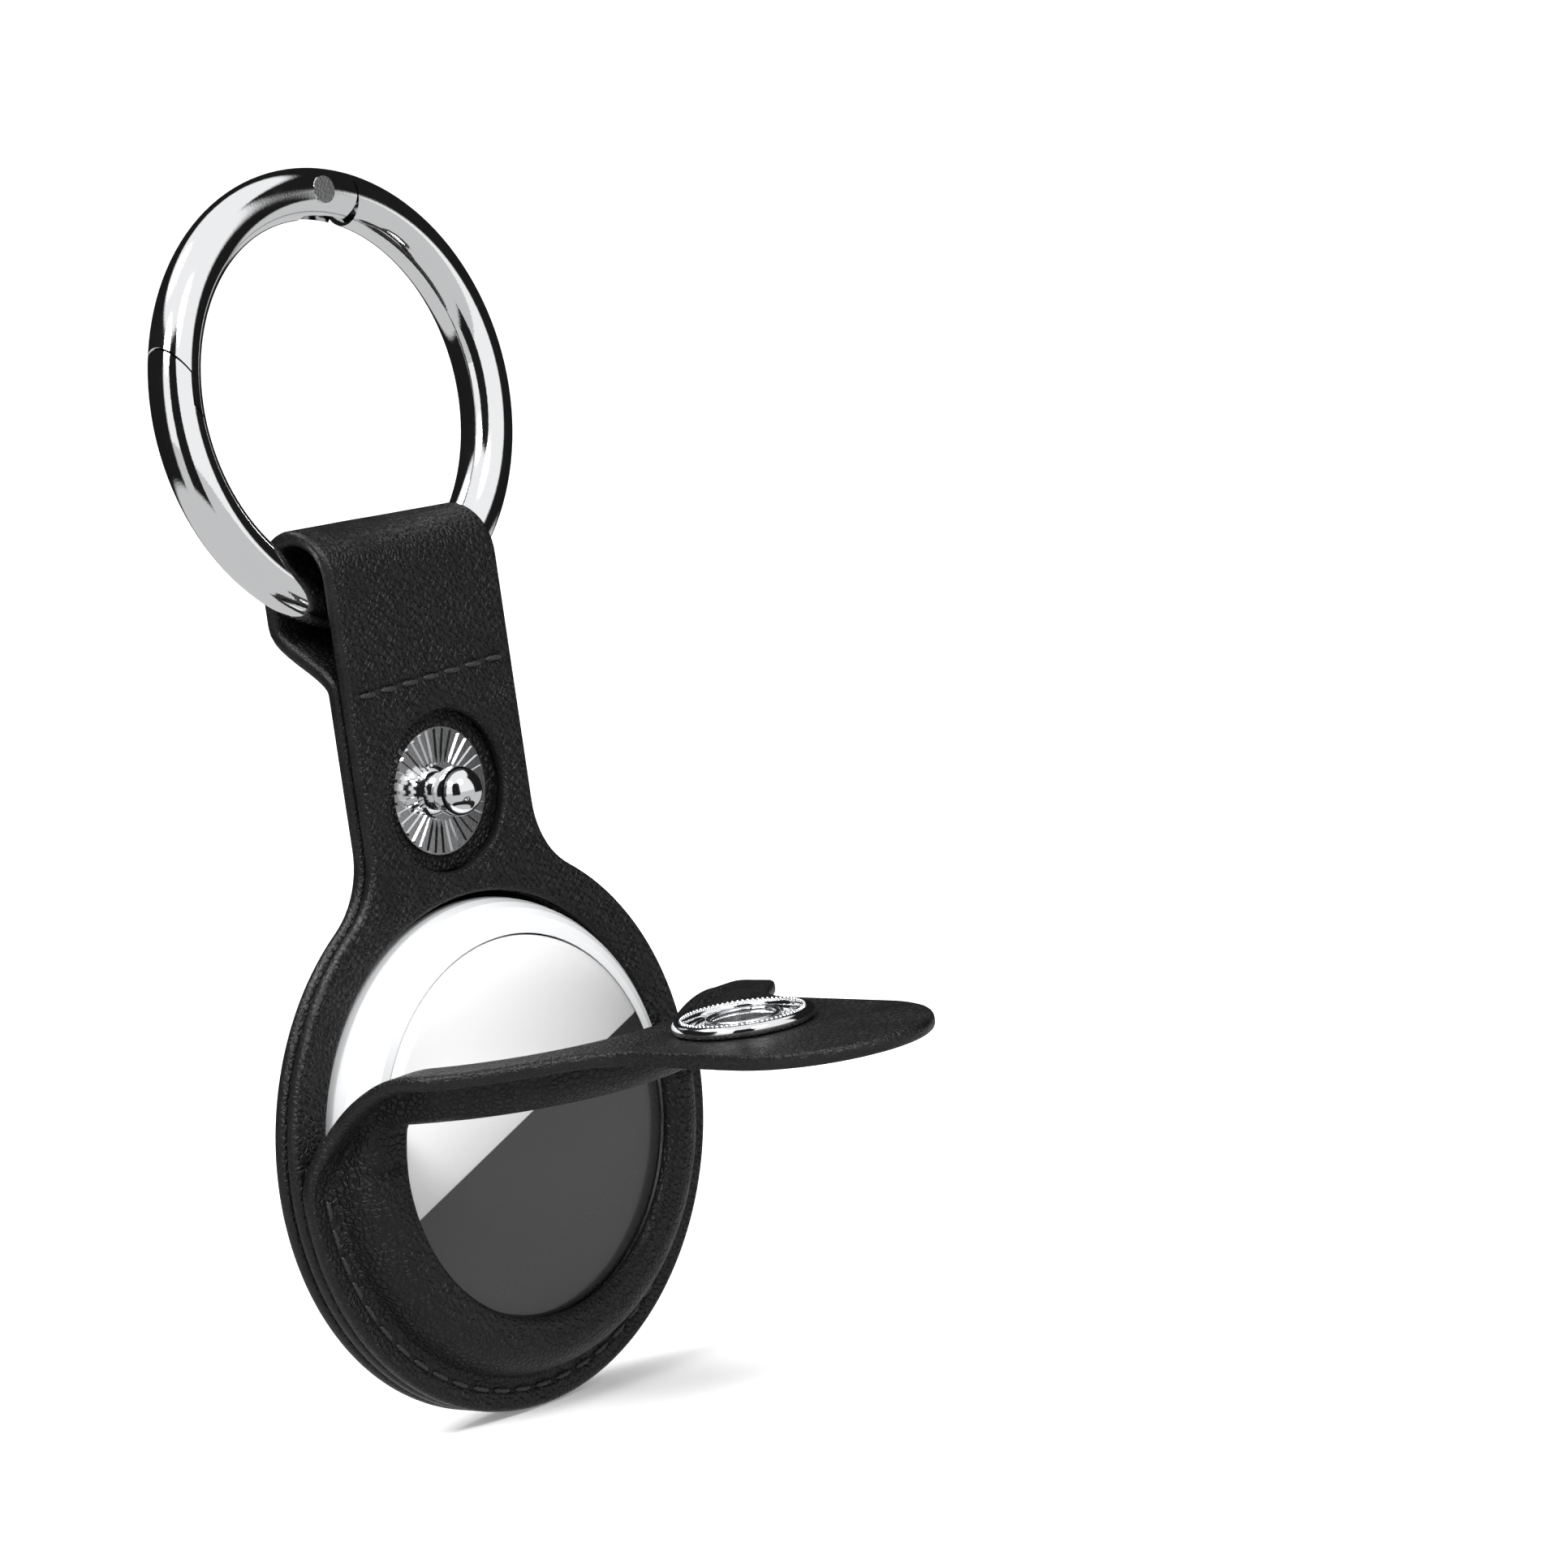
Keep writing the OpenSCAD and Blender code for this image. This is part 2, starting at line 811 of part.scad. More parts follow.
module tag_seal() {
    ledge = tag_t - cover_edge - cover_skirt;
    color("gray")
        at_tag()
            turned()
                translate([cover_r - seal_r, ledge - seal_r + cover_gap]) circle(seal_r, $fn = 24);
}

module tag_board() {
    top = tag_t - cover_wall - inner_gap - cell_t - tray_t;
    color("darkgreen")
        at_tag()
            turned()
                translate([board_in_r, top - board_t - inner_gap]) square([cell_d / 2 + contact_w - board_in_r, board_t]);
}

module tag_contacts() {
    base = tag_t - cover_wall - inner_gap - cell_t - inner_gap;
    color("gold")
        at_tag()
            for (i = [0:tab_count - 1])
                turned(360 * (i + 0.5) / tab_count, tab_w_angle)
                    translate([cell_d / 2 + inner_gap, base]) square([contact_t, cell_t - inner_gap]);
}

module tag_coil() {
    color("orange")
        at_tag()
            turned()
                translate([coil_in_r, shell_wall + inner_gap]) square([coil_out_r - inner_gap - coil_in_r, coil_t]);
}

module tag_magnet() {
    color("gray")
        at_tag()
            turned()
                translate([0, shell_wall + 2 * inner_gap]) square([magnet_r, magnet_t]);
}

strap();
front_pocket();
flap_fold_band();
snap_flap();
rim_stitching();
strap_stitching();
snap_cap();
cap_post();
snap_socket();
socket_spring();
snap_stud();
stud_rivet();
ring_body();
ring_gate();
gate_pin();
gate_plunger();
gate_spring();
tag_shell();
tag_cover();
tag_seal();
tag_cell();
tag_contacts();
tag_board();
tag_tray();
tag_coil();
tag_magnet();
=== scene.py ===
"""Leather holder for a round tracker tag on a spring-gate ring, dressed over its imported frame.

Lengths are in millimetres until a mesh is finished, and "depth" is the distance in front of the
crown of the back, so a point of the row frame is (x, -depth, z).
"""
import logging
import math
from dataclasses import dataclass
from enum import Enum
from typing import Callable, Iterable, Sequence

import bmesh
import bpy
from mathutils import Matrix, Vector, noise


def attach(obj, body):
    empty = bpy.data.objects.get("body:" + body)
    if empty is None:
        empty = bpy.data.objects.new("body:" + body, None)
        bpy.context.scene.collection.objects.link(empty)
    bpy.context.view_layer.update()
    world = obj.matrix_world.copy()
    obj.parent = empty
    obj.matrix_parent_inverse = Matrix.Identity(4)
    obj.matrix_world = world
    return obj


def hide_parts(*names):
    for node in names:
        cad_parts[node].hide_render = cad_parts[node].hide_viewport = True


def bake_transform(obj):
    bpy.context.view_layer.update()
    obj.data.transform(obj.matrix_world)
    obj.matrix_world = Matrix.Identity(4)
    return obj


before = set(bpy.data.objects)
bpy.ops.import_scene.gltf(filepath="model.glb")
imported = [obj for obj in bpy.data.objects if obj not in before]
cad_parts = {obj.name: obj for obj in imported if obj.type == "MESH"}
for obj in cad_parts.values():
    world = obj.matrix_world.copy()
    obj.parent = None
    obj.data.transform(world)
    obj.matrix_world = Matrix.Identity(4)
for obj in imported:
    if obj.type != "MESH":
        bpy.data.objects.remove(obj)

logging.basicConfig(level=logging.INFO, format="%(levelname)s %(message)s")
LOG = logging.getLogger("holder")

MM = 0.001
FRAME_PIXELS = 1932

Point = tuple[float, float]
Place = Callable[[float, float], Vector]
Share = Callable[[float, float], float]
Tone = tuple[float, float, float]
Material, Object = bpy.types.Material, bpy.types.Object
Node, Socket = bpy.types.Node, bpy.types.NodeSocket
Value = Socket | float


class Body(str, Enum):
    """CAD bodies that the drawn pieces ride on."""

    HOLDER = "holder"
    FLAP = "flap"


class Slot(str, Enum):
    """Material slots of the record."""

    LEATHER = "black_leather"
    THREAD = "black_thread"
    SNAP = "snap_chrome"


# Sizes, as in the part's source


@dataclass(frozen=True)
class LeatherSize:
    """Sizes of the leather parts. Names with _r are radii and names with _z are heights."""

    # Thickness of a layer and radius of its rounded cut edges
    thick: float = 1.05
    edge: float = 0.42
    # Outlines, window, holes and seams, seen from the front
    disc_r: float = 19.5
    strap_half: float = 8.0
    flare_r: float = 6.0
    snap_z: float = 23.8
    seam_z: float = 31.8
    tip_z: float = 38.3
    window_r: float = 12.85
    seam_r: float = 18.0
    hole_r: float = 16.4
    recess_r: float = 5.6
    dome_flat_r: float = 6.0
    # Depths of the layers' faces, from the crown forward
    back_rim: float = 4.0
    frame_back: float = 5.15
    frame_front: float = 6.2
    flange: float = 7.25
    lip_back: float = 9.29
    lip: float = 10.34
    # Radii between which the pocket's wall rises
    lip_flat_r: float = 14.21
    wall_r: float = 17.03
    # Loop round the ring, with its rise to one side for each millimetre across
    loop_r: float = 2.5
    loop_depth: float = 2.65
    loop_arc_z: float = 39.43
    loop_side_z: float = 36.4
    loop_foot_z: float = 32.15
    loop_skew: float = 0.07

    @property
    def flare_centre(self) -> Point:
        """Centre of the right-hand fillet between strap and disc."""
        x = self.strap_half + self.flare_r
        return x, math.sqrt((self.disc_r + self.flare_r) ** 2 - x * x)

    @property
    def flare_angle(self) -> float:
        """Angle at which the fillet leaves the disc, from +X."""
        x, z = self.flare_centre
        return math.atan2(z, x)


@dataclass(frozen=True)
class FoldSize:
    """The flap's axis and the way the leather folds, seen from the side.

    Attributes:
        axis_depth: Depth of the flap's axis.
        axis_z: Height of the flap's axis.
        low: Height at which the closed leather starts to fold.
        high: Height at which the closed leather is all flap.
        leave: First handle of the flange's guide, as (depth, height).
        arrive: Its last handle, back from its end.
        corner: Share of the fold at which the lip turns.
        droop: How far the flap's far side hangs down.
        crease: Depth of the crease under the fold.
        narrow: How far the rim draws in at the fold, on either side.
        start: Point (depth, z) on the holder's side of the fold.
        end: Point on the flap's side of the fold.
        layer_gap: Gap between the closed flap and the strap.
    """

    axis_depth: float = 10.85
    axis_z: float = 3.65
    low: float = -0.3
    high: float = 8.4
    leave: Point = (0.0, 3.7)
    arrive: Point = (4.1, 0.0)
    corner: float = 0.45
    droop: float = 1.2
    crease: float = 0.28
    narrow: float = 1.3
    start: Point = (8.6, 0.85)
    end: Point = (13.3, 6.1)
    layer_gap: float = 0.3

    def opened(self, depth: float, z: float) -> Point:
        """Where a closed point (depth, z) of the flap lies once it is turned open by 90 degrees."""
        return self.axis_depth + z - self.axis_z, self.axis_z + self.axis_depth - depth


@dataclass(frozen=True)
class StitchSize:
    """Sizes of the seams. Angles of the rim's seam are in degrees, the twist in radians."""

    rim_count: int = 28
    strap_count: int = 7
    rim_start: float = 181
    rim_end: float = 363
    strap_inset: float = 0.8
    # Thread, how far its two plies stand out as a share, and their turn along a stitch
    thread_r: float = 0.19
    ply: float = 0.16
    twist: float = 11
    # Height of a stitch over its ends, and the depth of the ends and of the holes
    bow: float = 0.18
    dive: float = 0.14
    sunk: float = 0.08
    # Radius of a hole, whose near-black disc is painted shade, and the distance from its middle to the
    # stitch
    hole_r: float = 0.3
    gap: float = 0.22


@dataclass(frozen=True)
class SnapSize:
    """Sizes of the domed cap and of the row of beads on the socket."""

    beads: int = 76
    bead_r: float = 0.13
    bead_row_r: float = 4.2
    bead_depth: float = 5.65
    cap_r: float = 4.75
    cap_h: float = 1.7
    cap_wall: float = 0.3
    cap_roll: float = 0.16


# Geometry helpers


def row(x: float, depth: float, z: float) -> Vector:
    """A point of the row frame, still in millimetres."""
    return Vector((x, -depth, z))


def lerp(a: float, b: float, t: float) -> float:
    """Value between a and b."""
    return a + (b - a) * t


def clamp(t: float) -> float:
    """t held between 0 and 1."""
    return min(max(t, 0.0), 1.0)


def ease(t: float) -> float:
    """Smooth step from 0 to 1."""
    t = clamp(t)
    return t * t * (3 - 2 * t)


def hump(distance: float, width: float) -> float:
    """Bell of height 1 that fades over the width."""
    return math.exp(-((distance / width) ** 2))


def arc(centre: Point, radius: Point, start: float, end: float, steps: int) -> list[Point]:
    """Points of an elliptic arc.

    Args:
        centre: Centre of the ellipse.
        radius: Its two radii.
        start: First angle in degrees.
        end: Last angle in degrees.
        steps: Number of steps between them.

    Returns:
        steps + 1 points.
    """
    points = []
    for i in range(steps + 1):
        a = math.radians(lerp(start, end, i / steps))
        points.append((centre[0] + radius[0] * math.cos(a), centre[1] + radius[1] * math.sin(a)))
    return points


def resample(points: Sequence[Point], count: int, closed: bool = True) -> list[Point]:
    """Spreads count points evenly along a path."""
    path = list(points) + ([points[0]] if closed else [])
    lengths = [0.0]
    for a, b in zip(path, path[1:]):
        lengths.append(lengths[-1] + math.dist(a, b))
    total, result, k = lengths[-1], [], 0
    steps = count if closed else count - 1
    for i in range(count):
        s = total * i / steps
        while k < len(path) - 2 and lengths[k + 1] < s:
            k += 1
        span = max(lengths[k + 1] - lengths[k], 1e-9)
        t = (s - lengths[k]) / span
        result.append((lerp(path[k][0], path[k + 1][0], t), lerp(path[k][1], path[k + 1][1], t)))
    return result


class Outline:
    """A closed flat path, counter-clockwise, that can be inset."""

    def __init__(self, points: Sequence[Point], count: int, hole: bool = False) -> None:
        self.points = resample(points, count)
        self.hole = hole
        self.normals: list[Point] = []
        for i, _ in enumerate(self.points):
            a, b = self.points[i - 1], self.points[(i + 1) % count]
            length = math.dist(a, b)
            self.normals.append(((b[1] - a[1]) / length, (a[0] - b[0]) / length))

    def inset(self, i: int, distance: float) -> Point:
        """Point i moved into the material by a distance."""
        way = 1 if self.hole else -1
        (x, z), (nx, nz) = self.points[i % len(self.points)], self.normals[i % len(self.points)]
        return x + way * nx * distance, z + way * nz * distance


def circle(centre: Point, radius: float, count: int) -> Outline:
    """A round hole."""
    return Outline(arc(centre, (radius, radius), 0, 360, count)[:-1], count, hole=True)


class Shaper:
    """Builds one mesh with bmesh operators and hands it over as a finished piece."""

    def __init__(self, name: str) -> None:
        self.name = name
        self.mesh = bmesh.new()
        self.edge = self.mesh.verts.layers.float.new("edge")

    @staticmethod
    def _finish(faces: Iterable[bmesh.types.BMFace], material: int) -> None:
        """Shades faces smoothly and gives them their material index."""
        for face in faces:
            face.material_index = material
            face.smooth = True

    def lattice(
        self, across: int, along: int, place: Place, material: int = 0, edge: Share | None = None
    ) -> None:
        """Adds a grid whose points are put in place by a function of (u, v), each 0 to 1.

        Args:
            across: Number of faces along u.
            along: Number of faces along v.
            place: Gives each grid point its place in millimetres.
            material: Material index of the new faces.
            edge: Gives each point its share of rubbed edge.
        """
        made = bmesh.ops.create_grid(self.mesh, x_segments=across, y_segments=along, size=0.5)
        verts = made["verts"]
        self._finish({f for v in verts for f in v.link_faces}, material)
        for vert in verts:
            u, v = vert.co.x + 0.5, vert.co.y + 0.5
            vert.co = place(u, v)
            vert[self.edge] = edge(u, v) if edge else 0.0
        bmesh.ops.remove_doubles(self.mesh, verts=verts, dist=1e-4)

    def tube(self, path: Sequence[Vector], radius: Share, sides: int) -> None:
        """Adds a tube along a path, closed at both ends to a point.

        Args:
            path: Points of the centre line.
            radius: Radius at (angle, share of the length).
            sides: Number of sides.
        """
        last = len(path) - 1
        frames = []
        up = Vector((0.0, -1.0, 0.0))
        for i, _ in enumerate(path):
            way = (path[min(i + 1, last)] - path[max(i - 1, 0)]).normalized()
            side = way.cross(up).normalized()
            frames.append((side, side.cross(way).normalized()))

        def place(u: float, v: float) -> Vector:
            i = round(v * last)
            a = 2 * math.pi * u
            r = radius(a, v)
            side, lift = frames[i]
            return path[i] + side * (r * math.cos(a)) + lift * (r * math.sin(a))

        self.lattice(sides, last, place)

    def beads(self, spots: Iterable[Vector], radius: float, flat: float = 1.0, material: int = 0) -> None:
        """Adds small balls, flattened along the depth axis by the share flat."""
        for spot in spots:
            matrix = Matrix.Translation(spot) @ Matrix.Diagonal((1.0, flat, 1.0, 1.0))
            made = bmesh.ops.create_uvsphere(
                self.mesh, u_segments=12, v_segments=8, radius=radius, matrix=matrix
            )
            self._finish({f for v in made["verts"] for f in v.link_faces}, material)

    def revolve(self, profile: Sequence[Point], steps: int) -> None:
        """Spins a closed profile of (radius, depth) about the depth axis through the origin."""
        count = len(profile)
        points = [self.mesh.verts.new(row(r, d, 0.0)) for r, d in profile]
        edges = [self.mesh.edges.new((points[i], points[(i + 1) % count])) for i in range(count)]
        before = set(self.mesh.faces)
        bmesh.ops.spin(
            self.mesh, geom=points + edges, cent=(0, 0, 0), axis=(0, 1, 0),
            angle=2 * math.pi, steps=steps, use_merge=True,
        )
        self._finish(set(self.mesh.faces) - before, 0)

    def piece(self, materials: Iterable[Material], slot: Slot) -> Object:
        """Turns the mesh into an object in metres, with its normals outward."""
        bmesh.ops.remove_doubles(self.mesh, verts=self.mesh.verts, dist=1e-4)
        bmesh.ops.dissolve_degenerate(self.mesh, dist=1e-5, edges=self.mesh.edges)
        bmesh.ops.recalc_face_normals(self.mesh, faces=self.mesh.faces)
        bmesh.ops.scale(self.mesh, vec=(MM, MM, MM), verts=self.mesh.verts)
        data = bpy.data.meshes.new(self.name)
        self.mesh.to_mesh(data)
        self.mesh.free()
        piece = bpy.data.objects.new(self.name, data)
        bpy.context.scene.collection.objects.link(piece)
        for material in materials:
            data.materials.append(material)
        LOG.info("%s: %d faces", self.name, len(data.polygons))
        return piece


# Materials


def grey(level: float) -> tuple[float, float, float, float]:
    """An opaque grey."""
    return level, level, level, 1.0


def tint(tone: Tone, share: float = 1.0) -> tuple[float, float, float, float]:
    """An opaque colour at a share of its brightness."""
    return (*[c * share for c in tone], 1.0)


class Graph:
    """A small builder of node trees."""

    def __init__(self, tree: bpy.types.NodeTree) -> None:
        self.tree = tree
        self.tree.nodes.clear()

    def add(self, kind: str, **settings) -> Node:
        """Adds a shader node of a kind, as TexNoise, and sets its properties."""
        node = self.tree.nodes.new("ShaderNode" + kind)
        for key, value in settings.items():
            setattr(node, key, value)
        return node

    def link(self, source: Socket, target: Socket) -> None:
        """Joins two sockets."""
        self.tree.links.new(source, target)

    def put(self, value: Value | Sequence[float], socket: Socket) -> None:
        """Joins a socket to another one, or sets its constant."""
        if isinstance(value, Socket):
            self.link(value, socket)
        else:
            socket.default_value = value

    def feed(self, node: Node, **inputs) -> Node:
        """Fills a node's inputs by name, with underscores for spaces, or by number as i0, i1."""
        for key, value in inputs.items():
            numbered = key[0] == "i" and key[1:].isdigit()
            self.put(value, node.inputs[int(key[1:]) if numbered else key.replace("_", " ")])
        return node

    def place(self) -> Socket:
        """Object coordinates."""
        return self.add("TexCoord").outputs["Object"]

    def math(self, operation: str, a: Value, b: Value = 0.0, hold: bool = False) -> Socket:
        """A math node's output, held between 0 and 1 if asked."""
        node = self.add("Math", operation=operation, use_clamp=hold)
        return self.feed(node, i0=a, i1=b).outputs[0]

    def times(self, a: Value, b: Value) -> Socket:
        """The product of a and b."""
        return self.math("MULTIPLY", a, b)

    def noise(self, place: Socket, scale: float, detail: float = 2.0, rough: float = 0.5) -> Socket:
        """A noise texture's value."""
        node = self.add("TexNoise")
        return self.feed(node, Vector=place, Scale=scale, Detail=detail, Roughness=rough).outputs[0]

    def cells(self, place: Socket, scale: float) -> Socket:
        """A cell texture's distance to the cells' borders."""
        node = self.add("TexVoronoi", feature="DISTANCE_TO_EDGE")
        return self.feed(node, Vector=place, Scale=scale).outputs["Distance"]

    def ramp(self, value: Socket, stops: Sequence[Point]) -> Socket:
        """A grey ramp of (position, brightness) stops."""
        node = self.add("ValToRGB")
        points = node.color_ramp.elements
        while len(points) < len(stops):
            points.new(0.5)
        for point, (position, level) in zip(points, stops):
            point.position = position
            point.color = grey(level)
        self.link(value, node.inputs[0])
        return node.outputs[0]

    def blend(self, share: Value, a: Socket | Sequence[float], b: Socket | Sequence[float]) -> Socket:
        """A colour between a and b."""
        node = self.add("Mix", data_type="RGBA")
        return self.feed(node, i0=share, i6=a, i7=b).outputs[2]

    def mix(self, share: Value, a: Socket, b: Socket) -> Socket:
        """A shader between a and b."""
        return self.feed(self.add("MixShader"), i0=share, i1=a, i2=b).outputs[0]

    def glossy(self) -> Socket:
        """1 for the rays of reflections."""
        return self.add("LightPath").outputs["Is Glossy Ray"]

    def split(self, place: Socket) -> Sequence[Socket]:
        """The three parts of a place or direction."""
        return self.feed(self.add("SeparateXYZ"), i0=place).outputs

    def band(self, value: Socket, low: float, high: float, soft: float) -> Socket:
        """1 between two limits, with soft ends."""
        rising = self.add("MapRange", interpolation_type="SMOOTHSTEP")
        self.feed(rising, i0=value, i1=low - soft, i2=low + soft)
        falling = self.add("MapRange", interpolation_type="SMOOTHSTEP")
        self.feed(falling, i0=value, i1=high - soft, i2=high + soft, i3=1.0, i4=0.0)
        return self.times(rising.outputs[0], falling.outputs[0])

    def bump(self, height: Socket, depth: float, under: Socket | None = None) -> Socket:
        """A bump of a height field of 0 to 1, its depth in millimetres."""
        node = self.add("Bump")
        self.feed(node, Height=height, Distance=depth * MM, Strength=1.0)
        if under is not None:
            self.link(under, node.inputs["Normal"])
        return node.outputs[0]


class Surface(Graph):
    """A node material with one shader."""

    def __init__(self, name: str) -> None:
        self.material = bpy.data.materials.new(name)
        self.material.use_nodes = True
        super().__init__(self.material.node_tree)
        self.shader = self.add("BsdfPrincipled")
        self.output = self.add("OutputMaterial")
        self.link(self.shader.outputs[0], self.output.inputs[0])


@dataclass(frozen=True)
class Leather:
    """Grained leather.

    Attributes:
        name: Name of the material.
        tone: Linear brightness of the face.
        edge_tone: Linear brightness of the rubbed edges.
        crest_highlight: Brightness of the painted highlight on the grain's crests, as a multiple of the
            face's.
        groove_shade: Brightness of the painted shade in its grooves.
        pore: Width of a grain cell in millimetres.
        bend: How far the cells are bent, as a share of their width.
        relief: Depth of the grain in millimetres.
        swell: Depth of the soft unevenness.
        fine: Depth of the finest grain.
        rough: Roughness of the face.
        shine: Specular level.
    """

    name: str
    tone: float = 0.0045
    edge_tone: float = 0.009
    crest_highlight: float = 2.2
    groove_shade: float = 0.35
    pore: float = 0.46
    bend: float = 0.45
    relief: float = 0.1
    swell: float = 0.25
    fine: float = 0.012
    rough: float = 0.46
    shine: float = 0.26

    def make(self) -> Material:
        """Builds the material."""
        g = Surface(self.name)
        place = g.place()
        cell = self.pore * MM
        warp = g.add("TexNoise")
        g.feed(warp, Vector=place, Scale=1.4 / cell, Detail=1.0)
        moved = g.add("VectorMath", operation="MULTIPLY_ADD")
        g.feed(moved, i0=warp.outputs["Color"], i1=(self.bend * cell,) * 3, i2=place)
        cells = g.ramp(g.cells(moved.outputs[0], 1 / cell), [(0.0, 0.0), (0.22, 0.8), (0.5, 1.0)])
        # Mask of the grain's grooves, used for the painted shade in them.
        grooves = g.math("SUBTRACT", 1.0, cells)
        patches = g.noise(place, 0.16 / cell, 3.0)
        grain = g.times(cells, g.ramp(patches, [(0.32, 0.45), (0.56, 1.0)]))
        edge = g.add("Attribute", attribute_name="edge").outputs["Fac"]
        worn = g.math("SUBTRACT", 1.0, g.times(edge, 0.75))
        normal = g.bump(g.noise(place, 0.12 / MM, 2.0), self.swell)
        normal = g.bump(g.times(grain, worn), self.relief, under=normal)
        normal = g.bump(g.noise(place, 4 / cell, 3.0), self.fine, under=normal)
        # Painted highlight on the grain's crests and painted shade in its grooves.
        shade = g.blend(g.times(grain, 0.6), grey(self.tone), grey(self.tone * self.crest_highlight))
        shade = g.blend(g.times(grooves, 0.55), shade, grey(self.tone * self.groove_shade))
        rubbed = g.times(edge, g.ramp(patches, [(0.25, 0.3), (0.7, 1.0)]))
        shade = g.blend(rubbed, shade, grey(self.edge_tone))
        rough = g.math("ADD", g.times(patches, 0.18), self.rough - 0.1)
        rough = g.math("SUBTRACT", rough, g.times(edge, 0.1))
        g.feed(g.shader, Base_Color=shade, Roughness=rough, Normal=normal, Specular_IOR_Level=self.shine)
        return g.material


@dataclass(frozen=True)
class Metal:
    """Plated or plain metal with fine rubbing marks."""

    name: str
    tone: Tone = (0.86, 0.865, 0.875)
    rough: float = 0.045
    wear: float = 0.05
    relief: float = 0.002

    def make(self) -> Material:
        """Builds the material."""
        g = Surface(self.name)
        place = g.place()
        haze = g.noise(place, 0.35 / MM, 4.0, 0.6)
        worn = g.times(g.ramp(haze, [(0.45, 0.0), (0.75, 1.0)]), self.wear)
        rough = g.math("ADD", worn, self.rough)
        normal = g.bump(g.noise(place, 6 / MM, 2.0), self.relief)
        tone = g.blend(haze, tint(self.tone, 0.96), tint(self.tone))
        g.feed(g.shader, Base_Color=tone, Roughness=rough, Normal=normal, Metallic=1.0)
        return g.material


@dataclass(frozen=True)
class Plastic:
    """Moulded plastic, rubber or lacquer."""

    name: str
    tone: Tone
    rough: float = 0.3
    coat: float = 0.0
    coat_rough: float = 0.04
    texture: float = 0.004

    def make(self) -> Material:
        """Builds the material."""
        g = Surface(self.name)
        place = g.place()
        cloud = g.noise(place, 0.3 / MM, 3.0)
        fine = g.noise(place, 9 / MM, 2.0)
        tone = g.blend(cloud, tint(self.tone), tint(self.tone, 0.93))
        rough = g.math("ADD", g.times(cloud, 0.1), self.rough - 0.05)
        g.feed(g.shader, Base_Color=tone, Roughness=rough, Normal=g.bump(fine, self.texture))
        g.feed(g.shader, Coat_Weight=self.coat, Coat_Roughness=self.coat_rough)
        return g.material


@dataclass(frozen=True)
class Thread:
    """Waxed sewing thread."""

    name: str
    tone: float = 0.008

    def make(self) -> Material:
        """Builds the material."""
        g = Surface(self.name)
        fibre = g.noise(g.place(), 14 / MM, 3.0)
        tone = g.blend(fibre, grey(self.tone * 0.4), grey(self.tone * 2.2))
        rough = g.math("ADD", g.times(fibre, 0.3), 0.35)
        g.feed(g.shader, Base_Color=tone, Roughness=rough, Normal=g.bump(fibre, 0.03), Sheen_Weight=0.05)
        return g.material


@dataclass(frozen=True)
class PaintedReflection:
    """Polished face with a painted reflection, bright above a slanted line and dark below it.

    Attributes:
        through: A point of the line, as (x, z) in millimetres.
        slope: Rise of the line in degrees.
        bright, dim: Brightness of the upper part at its top and at the line.
        dark, darkest: Brightness of the lower part at its foot and at the line.
        rise, fall: Distances over which the two parts change.
        edge: Sharpness of the line.
    """

    name: str
    through: Point
    slope: float
    bright: float = 0.8
    dim: float = 0.38
    dark: float = 0.028
    darkest: float = 0.02
    rise: float = 14.0
    fall: float = 16.0
    edge: float = 12.0
    coat: float = 0.35
    coat_rough: float = 0.05

    def make(self) -> Material:
        """Builds the material."""
        g = Surface(self.name)
        place = g.place()
        x, _, z = g.split(place)
        a = math.radians(self.slope)
        ahead = g.times(g.math("SUBTRACT", x, self.through[0] * MM), math.sin(a) / MM)
        up = g.times(g.math("SUBTRACT", z, self.through[1] * MM), math.cos(a) / MM)
        above = g.math("SUBTRACT", up, ahead)
        upper, lower = (g.math("DIVIDE", above, reach, hold=True) for reach in (self.rise, -self.fall))
        # Painted reflection: the upper part fades from white to grey towards the line, and the lower part
        # stays near black.
        upper = g.ramp(upper, [(0.0, self.dim), (0.75, self.bright)])
        lower = g.ramp(lower, [(0.0, self.darkest), (1.0, self.dark)])
        tone = g.blend(g.math("MULTIPLY_ADD", above, self.edge, hold=True), lower, upper)
        rough = g.math("ADD", g.times(g.noise(place, 0.5 / MM, 4.0, 0.6), 0.08), 0.16)
        g.feed(g.shader, Base_Color=tone, Roughness=rough, Normal=g.bump(g.noise(place, 7 / MM), 0.002))
        g.feed(g.shader, Coat_Weight=self.coat, Coat_Roughness=self.coat_rough)
        return g.material


# Sub-assemblies


